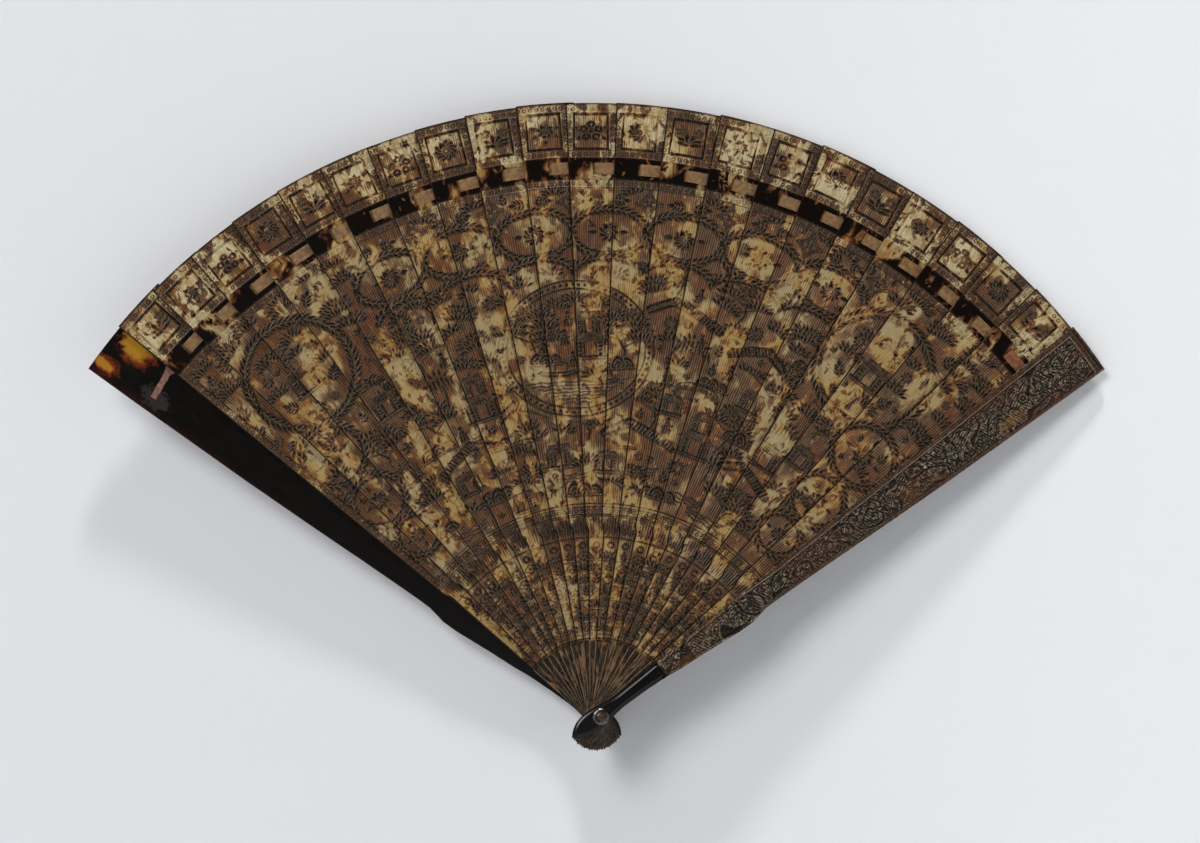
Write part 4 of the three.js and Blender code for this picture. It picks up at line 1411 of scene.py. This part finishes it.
def shell_material():
    """Mottled tortoiseshell: the colour follows how much pigment lies in how much thickness."""
    t = Skin("tortoiseshell_mottled")
    x, radius = t.x, t.y
    thick, mark = t.carved()
    # Patches, longer along the stick, with smoky edges. The shell is clearer towards the rim
    broad = t.noise(0.1, 2.0, 0.45, 0.5, (1.0, 0.68))
    streak = t.noise(0.42, 2.6, 0.5, 0.8, (1.5, 0.6))
    fleck = t.noise(0.26, 1.6, 0.5, 0.6, (1.0, 0.8), (31, 7, 3))
    smoke = broad + (streak - 0.5) * 0.26
    smoke = smoke - radius.step(140.0, 170.0, 0.0, 0.064) - radius.step(66.0, 50.0, 0.0, 0.02)
    # Raised work reaches into the pale patches, for the colour lies in the outer layers
    pigment = (smoke + thick * 0.062).step(0.41, 0.57).larger(fleck.step(0.52, 0.70) * 0.85)
    # Small blots in the clear shell and small clear specks in the brown
    blot = t.noise(0.5, 1.6, 0.5, 0.3, (1.1, 0.8), (13, 29, 5))
    pigment = pigment.larger(blot.step(0.56, 0.68) * 0.9) * blot.step(0.27, 0.36, 0.25, 1.0)
    # Fine ribs left by the graver on the ground, and fine curling lines on the raised work
    wobble = t.noise(0.8, 1.0, stretch=(1.0, 0.1)) * 2.4
    ribs = (x * (FULL_TURN / RIB_PITCH) + wobble).sine() * 0.5 * thick.step(0.4, 0.1)
    curl = (t.noise(0.5, 1.0) * 64.0).sine()
    off_ribbon = (radius - RIBBON_RADIUS).size().step(2.7, 3.3)
    graved = curl.step(0.45, 0.95) * thick.step(0.6, 0.9) * mark.below(0.3) * off_ribbon
    # How deep the colour is
    cloud = t.noise(0.9, 2.0, stretch=(1.0, 0.3)) - 0.5
    body = thick * 0.54 + 0.47 + cloud * 0.3 + ribs * 0.33
    clear = thick * thick * 0.1 + 0.02 + ribs * 0.03 + cloud * 0.17
    # Near a stick's edge the colour runs dark: partly the shell's thickness seen at the edge, partly painted
    # shade in the seam between leaves
    depth = (pigment * body + clear).larger(mark.step(0.45, 0.75) * 0.8)
    # The plain shanks are dark
    shank = radius.step(CARVING_START + 0.6, CARVING_START - 1.0) * radius.step(-3.0, 3.0, 0.72, 1.0)
    length = t.noise(0.42, 2.4, 0.55, 0.4, (1.5, 0.34), (17, 3, 8))
    depth = depth.towards(length.step(0.68, 0.45, 0.2, 1.0), shank)
    grey = t.ramp(depth, (0.0, 165, 147, 106), (0.1, 147, 124, 84), (0.22, 119, 93, 62), (0.4, 95, 68, 47),
                  (0.56, 72, 47, 31), (0.75, 26, 16, 9), (1.0, 15, 11, 8))
    red = t.ramp(depth, (0.0, 165, 140, 86), (0.1, 149, 115, 61), (0.22, 123, 82, 42), (0.4, 98, 62, 38),
                 (0.56, 76, 44, 28), (0.78, 38, 19, 9), (1.0, 18, 11, 7))
    reddish = t.noise(0.16, 2.0, stretch=(0.8, 0.6), shift=(5, 11, 2)).step(0.4, 0.58)
    t.colour = t.mix(reddish * (shank * -0.7 + 1.0), grey, red)
    # The clear shell is at its palest near the rim
    palest = radius.step(142.0, 168.0) * depth.step(0.2, 0.04)
    t.paint(palest * streak.step(0.38, 0.6, 0.15, 0.85), 200, 187, 148)
    t.paint(graved * 0.32, 116, 94, 70)
    # Dust in the cut ground, pale edges round the raised work that are partly wear and partly painted
    # highlight, and painted shade at its foot
    dust = thick.step(0.5, 0.0) * t.noise(1.7, 3.0, 0.6).step(0.45, 0.7)
    t.paint(dust * 0.14, 142, 120, 90)
    # Pale edges on the raised work's slopes: partly wear, partly painted highlight
    worn = thick.band(0.3, 0.5, 0.7, 0.9) * (depth.step(0.3, 0.6) * 0.3 + 0.04)
    t.paint(worn * t.noise(1.3, 2.0).step(0.36, 0.6, 0.3, 1.0), 138, 116, 86)
    # Painted shade: dark at the foot of the raised work
    t.paint(thick.band(0.08, 0.2, 0.26, 0.42) * depth.step(0.08, 0.34, 0.2, 0.7), 22, 14, 9)
    # Painted highlight: pale lines beside the edges, and on the edges of the shanks
    t.paint(mark.band(0.05, 0.2, 0.4, 0.55) * 0.22, 136, 116, 90)
    t.paint(mark.step(0.7, 1.0) * shank * 0.6, 116, 108, 96)
    # Each shank shows a painted highlight as a pale line down its left edge, and each head a few tan streaks
    painted_edge_highlight = x.step(-1.8, -1.94) * radius.step(4.0, 9.0) * streak.step(0.36, 0.56, 0.35, 1.3)
    tan = t.noise(0.9, 2.0, stretch=(2.6, 0.2), shift=(9, 2, 4)).step(0.5, 0.66)
    tan = tan * radius.step(2.0, -5.0, 0.3, 0.9)
    tips = radius.step(-8.0, -9.8) * streak.step(0.42, 0.58)
    t.paint(painted_edge_highlight.larger(tan).larger(tips) * shank * 0.5, 128, 110, 84)
    gloss = {"Roughness": thick.step(1.0, 0.2) * 0.22 + 0.16 + t.noise(0.5, 4.0, 0.6) * 0.12,
             "Specular IOR Level": shank * 0.14 + 0.18}
    return t.finish(gloss, ribs + t.noise(2.4, 3.0, 0.6) * 0.3, 0.0001, 0.8)


def guard_material(name, stained):
    """Dark tortoiseshell, carved and dusty on the outer face and polished on the inner one."""
    t = Skin(name)
    x, y = t.x, t.y
    thick, mark = t.carved()
    inner = mark.step(0.6, 0.9)
    on_frame = mark.band(0.1, 0.4, 0.5, 0.7)
    off_frame = on_frame * -0.9 + 1.0
    broad = t.noise(0.09, 3.0, 0.55, 0.8, (1.0, 0.5))
    fine = t.noise(1.1, 4.0, 0.65, 0.4)
    grain = t.noise(2.6, 2.0)
    # Painted shade darkens the ground between the raised work, which is a dusty brown with pale worn edges
    ground = thick.step(0.7, 0.2)
    raised = t.ramp(fine, (0.34, 47, 38, 29), (0.5, 81, 68, 51), (0.64, 117, 99, 77))
    brown = t.ramp(fine, (0.3, 34, 22, 17), (0.5, 60, 39, 29), (0.7, 92, 66, 50))
    outer_side = x.step(1.0, 3.0) * y.step(175.0, 172.0)
    raised = t.mix(on_frame * (outer_side * -0.5 + 0.85), raised, brown)
    # The ground's dark colour is painted shade in the recesses
    cut = t.ramp(grain, (0.34, 12, 9, 7), (0.52, 24, 18, 13), (0.68, 48, 39, 29))
    t.colour = t.mix(ground, raised, cut)
    t.paint(thick.band(0.55, 0.75, 0.85, 0.99) * grain.step(0.42, 0.6, 0.05, 0.3), 148, 136, 114)
    # Fine curling cuts, and fine hatching that changes its direction from form to form
    curl = (t.noise(0.27, 1.0, 0.5, 0.3) * 66.0).sine()
    drift = t.noise(0.3, 2.0) * 9.0
    steep, flat = ((x * across + (y * along + drift)).sine() for across, along in ((7.4, 3.1), (-3.6, 7.0)))
    form = t.noise(0.16, 1.0, 0.5, 0.4, (1, 0.8), (6, 1, 9)).step(0.48, 0.52)
    hatched = t.noise(0.22, 1.0, stretch=(1, 1), shift=(4, 3, 2)).step(0.44, 0.5)
    curl = curl.towards(steep.towards(flat, form) * 0.95, hatched)
    lines = curl.step(0.7, 0.97) * grain.step(0.4, 0.54, 0.35, 1.0) * ground.step(1.0, 0.4, 0.5, 1.0)
    patch = t.noise(0.2, 2.0, stretch=(1, 1), shift=(2, 8, 4)).step(0.42, 0.56, 0.45, 1.0)
    # Pale lines, partly the engraving and partly painted highlight
    t.paint(lines * patch * off_frame * 0.88, 184, 170, 147)
    t.paint(curl.step(-0.5, -0.95) * off_frame * 0.8, 18, 13, 10)
    # Larger scrolls run through them as dark cuts
    big = (t.noise(0.085, 1.0, 0.5, 0.5, (1.0, 0.8)) * 46.0).sine()
    t.paint(big.band(-0.3, -0.5, -0.64, -0.82) * off_frame * 0.3, 140, 126, 104)
    trench = big.step(-0.76, -0.93) * off_frame
    t.paint(trench * 0.85, 14, 11, 9)
    # A worn lip on the frame, and brown and reddish clouds, most of all along the outer edge
    t.paint(mark.band(0.49, 0.56, 0.62, 0.72) * grain.step(0.4, 0.6, 0.3, 0.8), 158, 142, 122)
    t.paint(broad.step(0.60, 0.68) * 0.4, 128, 84, 44)
    t.paint(x.step(3.6, 6.6) * y.step(CARVING_START, 60.0) * 0.3, 66, 38, 30)
    rusty = t.noise(0.12, 2.0, stretch=(1, 0.4), shift=(3, 5, 9)).step(0.48, 0.62)
    t.paint(rusty * 0.3, 84, 44, 32)
    # The shank, the head and the inner face are plain and polished
    plain = y.step(CARVING_START + 0.8, CARVING_START).larger(inner)
    polished = t.ramp(fine, (0.3, 10, 9, 8), (0.6, 17, 14, 12), (0.8, 34, 24, 18))
    t.colour = t.mix(plain, t.colour, polished)

    def from_spot(cx, cy, rx, ry):
        du, dv = (x - cx) / rx, (y - cy) / ry
        return (du * du + dv * dv).root()
    if stained:
        torn = t.noise(0.45, 4.0, 0.6, 0.8, (1.0, 0.8)) - 0.5
        for *spot, ragged, shade in STAINS:
            t.paint((from_spot(*spot) + torn * ragged).step(1.2, 0.7) * inner * 0.92, *shade)
    else:
        # One amber spot shows through the carving
        t.paint((from_spot(*AMBER_SPOT) + (grain - 0.5) * 3.6).step(1.2, 0.5) * 0.55, 146, 104, 52)
    t.paint(x.step(-4.5, -7.5) * inner * broad.step(0.4, 0.6) * 0.5, 54, 22, 16)
    dull = ground * 0.2 + 0.2 + fine * 0.14
    smear = t.noise(0.7, 4.0, 0.6, stretch=(1.0, 0.2)) * 0.18 + 0.1
    gloss = {"Roughness": dull.towards(smear, plain), "Specular IOR Level": plain * 0.12 + 0.18}
    # Matting of crossed cuts on the ground
    matting = ((x + y) * 9.0).sine() * ((x - y) * 9.0).sine() * 0.6 * ground
    height = matting + fine * (plain * -0.55 + 0.6) + curl * 0.3 * (off_frame - plain)
    return t.finish(gloss, height - trench * (1.0 - plain), 0.00014, 0.9)


def ribbon_material(name, dark, mid, light):
    """Woven ribbon with fine threads both ways."""
    t = Skin(name)
    warp = (t.x * (FULL_TURN / WARP_PITCH)).sine()
    weft = (t.y * (FULL_TURN / WEFT_PITCH)).sine()
    cloud = t.noise(0.9, 4.0, 0.6)
    # Painted shade: it is darker towards the end that runs under the next leaf
    shade = cloud + weft * 0.05 - t.x.step(3.4, 6.2, 0.0, 0.12)
    t.colour = t.ramp(shade, (0.3, *dark), (0.5, *mid), (0.72, *light))
    gloss = {"Roughness": cloud * 0.3 + 0.38, "Sheen Weight": 0.08, "Sheen Roughness": 0.4}
    return t.finish(gloss, weft * 0.5 + warp * 0.25, 0.00004, 0.8)


def metal_material(name, dark, light, scale, pitch, rough):
    """Tarnished metal with turned rings."""
    t = Skin(name)
    out = (t.x * t.x + t.y * t.y).root()
    rings = (out * (FULL_TURN / pitch)).sine()
    cloud = t.noise(scale, 5.0, 0.65)
    tarnish = cloud.step(0.38, 0.66).larger(rings.step(0.3, 0.9, 0.0, 0.8))
    t.colour = t.mix(tarnish, srgb(*light), srgb(*dark))
    height = rings * 0.2 + t.noise(scale * 4, 3.0, 0.6)
    return t.finish({"Metallic": 1.0, "Roughness": cloud * 0.3 + rough}, height, 0.00006, 0.6)


# The fan
fan_relief = carve_fan()
guard_relief = carve_guard()
mottled = shell_material()
dark_shell = guard_material("tortoiseshell_dark", False)
dark_shell_back = guard_material("tortoiseshell_dark_back", True)
satin = ribbon_material("ribbon_satin", (88, 58, 28), (124, 90, 48), (150, 116, 70))
fresh = ribbon_material("ribbon_fresh", (92, 50, 24), (128, 74, 38), (158, 104, 60))
worn = ribbon_material("ribbon_worn", (84, 46, 34), (120, 78, 62), (152, 122, 112))

for leaf in range(1, STICKS + 1):
    stick = make_stick(leaf, fan_relief, mottled)
    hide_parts(f"stick_{leaf:02d}")
    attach(stick, f"stick_{leaf:02d}")
    last = leaf == STICKS
    band = make_ribbon(f"ribbon_run_{leaf:02d}", leaf, height_of(leaf), -RIBBON_REACH, RIBBON_REACH, None,
                       fresh if last else satin, leaf)
    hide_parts(f"ribbon_{leaf:02d}")
    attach(band, f"stick_{leaf:02d}")

guard = make_guard("carved_guard_front", STICKS + 1, GUARD_INNER, False, guard_relief, dark_shell, 11.0)
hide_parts("guard_front")
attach(guard, "front_guard")
guard = make_guard("carved_guard_back", 0, -GUARD_INNER, True, guard_relief, dark_shell_back, 67.0)
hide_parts("guard_back")
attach(guard, "back_guard")

# The remainder of an older ribbon is glued to the back guard
TORN_END = -3.3
tail = make_ribbon("ribbon_tail_back", 0, -GUARD_INNER, TORN_END, RIBBON_REACH, RIBBON_LIFT, worn, 40, 0.46)
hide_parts("ribbon_end_back")
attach(tail, "back_guard")
tail = make_ribbon("ribbon_tail_front", STICKS + 1, GUARD_INNER, -RIBBON_REACH, 1.5, -RIBBON_LIFT, fresh, 41)
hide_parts("ribbon_end_front")
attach(tail, "front_guard")

pin_metal = metal_material("pin_copper", (62, 48, 40), (124, 104, 88), 1.4, 0.52, 0.22)
washer_metal = metal_material("washer_steel", (52, 48, 48), (126, 118, 116), 1.1, 1.3, 0.08)
# The pin's spread end, as radii and how far each lies below its top
PIN_END = ((0.02, 0.04), (0.6, 0.02), (0.95, 0.05), (1.15, 0.12), (1.23, 0.22), (PIN, 0.35))
pin_profile = [(radius, PIN_HALF - drop) for radius, drop in PIN_END]
pin_profile += [(radius, -height) for radius, height in reversed(pin_profile)]
pin = make_turned("rivet_shank", pin_profile, pin_metal)
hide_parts("rivet_pin")
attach(pin, "back_guard")

# The washer's section, as radii and heights over its seat
WASHER_PROFILE = ((HOLE, 0.5), (HOLE + 0.05, 0.62), (1.5, 0.69), (1.62, 0.68), (1.8, 0.62), (2.0, 0.54),
                  (2.18, 0.45), (2.3, 0.35), (2.37, 0.22), (WASHER, 0.1), (WASHER - 0.08, 0), (HOLE, 0))
washer_profile = [(radius, SEAT + height) for radius, height in WASHER_PROFILE]
for side, name in ((1, "front"), (-1, "back")):
    washer = make_turned(f"rivet_rose_{name}", washer_profile, washer_metal, side)
    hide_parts(f"rivet_washer_{name}")
    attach(washer, "back_guard")

# Stage, in metres
FLOOR = -0.09
FLOOR_HALF = 4
WALL_HALF, WALL_TOP = 0.7, 0.7
LOOK_AT = (0, 0, 0.08)


def light_path(tree, name):
    return tree.node("LightPath", name)


def sheet(name, corners, paint, clearness):
    """A dull sheet of the stage. paint gives its colour and clearness where it can't be seen."""
    t = Tree(bpy.data.materials.new(name))
    where = t.node("TexCoord", "Object")
    shader = t.nodes["Principled BSDF"]
    for label, value in (("Base Color", paint(t, where)), ("Roughness", 0.9), ("Specular IOR Level", 0.1)):
        t.put(shader.inputs[label], value)
    mixed = t.node("MixShader", 0, {0: clearness(t, where), 1: Value(t, shader.outputs[0]),
                                    2: t.node("BsdfTransparent", 0)})
    t.put(t.nodes["Material Output"].inputs["Surface"], mixed)
    mesh = bpy.data.meshes.new(name)
    mesh.from_pydata(corners, [], [(0, 1, 2, 3)])
    mesh.materials.append(t.owner)
    ob = bpy.data.objects.new(name, mesh)
    bpy.context.collection.objects.link(ob)


def floor_colour(t, where):
    return t.mix(t.noise(3.0, 2.0, over=where) * 0.05, srgb(202, 203, 205), (0.5, 0.5, 0.5, 1))


def floor_clearness(t, where):
    """Seen from the side, the floor fades into the pale room behind it."""
    far_off = t.node("VectorMath", "Value", {0: where}, operation="LENGTH")
    return far_off.step(0.4, 1.1) * light_path(t, "Is Camera Ray")


def wall_colour(t, where):
    """Painted light: the wall is a little paler towards the right."""
    across = t.node("SeparateXYZ", "X", {0: where})
    return t.mix(across.step(-0.05, 0.2), srgb(235, 236, 239), srgb(249, 250, 251))


def wall_clearness(t, where):
    """The wall throws no shadow and can't be seen from behind."""
    return t.node("NewGeometry", "Backfacing").larger(light_path(t, "Is Shadow Ray"))


def wall_at(x, z):
    """The wall leans with the fan's layers: it all but touches the front guard's tip at the right."""
    return 0.017 - 0.063 * z - 0.13 * x


floor_corners = [(x * FLOOR_HALF, y * FLOOR_HALF, FLOOR) for x, y in ((-1, -1), (1, -1), (1, 1), (-1, 1))]
sheet("floor", floor_corners, floor_colour, floor_clearness)
wall_corners = [(x * WALL_HALF, wall_at(x * WALL_HALF, z), z)
                for x, z in ((-1, FLOOR), (1, FLOOR), (1, WALL_TOP), (-1, WALL_TOP))]
sheet("wall", wall_corners, wall_colour, wall_clearness)

# The room is dim behind the camera
world = bpy.data.worlds.new("world")
bpy.context.scene.world = world
room = Tree(world)
sky = room.nodes["Background"]
sky.inputs["Color"].default_value = srgb(217, 218, 221)
depth = room.node("SeparateXYZ", "Y", {0: room.node("TexCoord", "Generated")})
light = depth.step(-0.95, -0.4, 0.02, 0.16)
room.put(sky.inputs["Strength"], light.larger(light_path(room, "Is Camera Ray")))


def turned_to(ob, location, target):
    """Links an object that looks from a place at a target."""
    ob.location = location
    ob.rotation_mode = "QUATERNION"
    ob.rotation_quaternion = (Vector(target) - Vector(location)).to_track_quat("-Z", "Y")
    bpy.context.collection.objects.link(ob)


KEY_PLACE = (-1.36, -2.39, 1.27)
for name, location, size, power in (("key", KEY_PLACE, 1.3, 37),
                                    ("spark", KEY_PLACE, 0.2, 2.6),
                                    ("top", (0, -1.0, 2.37), 0.3, 30),
                                    ("fill_right", (1.3, -1.3, 0.5), 1.0, 1.2),
                                    ("back", (0.5, 1.6, 1.1), 1.0, 18)):
    lamp = bpy.data.lights.new(name, "AREA")
    lamp.shape, lamp.size, lamp.energy = "DISK", size, power
    turned_to(bpy.data.objects.new(name, lamp), location, LOOK_AT)

# Camera
AZIMUTH, ELEVATION, DISTANCE = math.radians(-5.13), math.radians(-3.0), 1.1
TARGET = Vector((0.0009, 0, 0.0851))
lens = bpy.data.cameras.new("camera")
lens.lens, lens.sensor_width = 113.7, 36
lens.clip_start, lens.clip_end = 0.05, 20
back = Vector((math.sin(AZIMUTH) * math.cos(ELEVATION), -math.cos(AZIMUTH) * math.cos(ELEVATION),
               math.sin(ELEVATION)))
camera = bpy.data.objects.new("camera", lens)
turned_to(camera, TARGET + back * DISTANCE, TARGET)
bpy.context.scene.camera = camera

bpy.context.scene.view_settings.view_transform = "Standard"
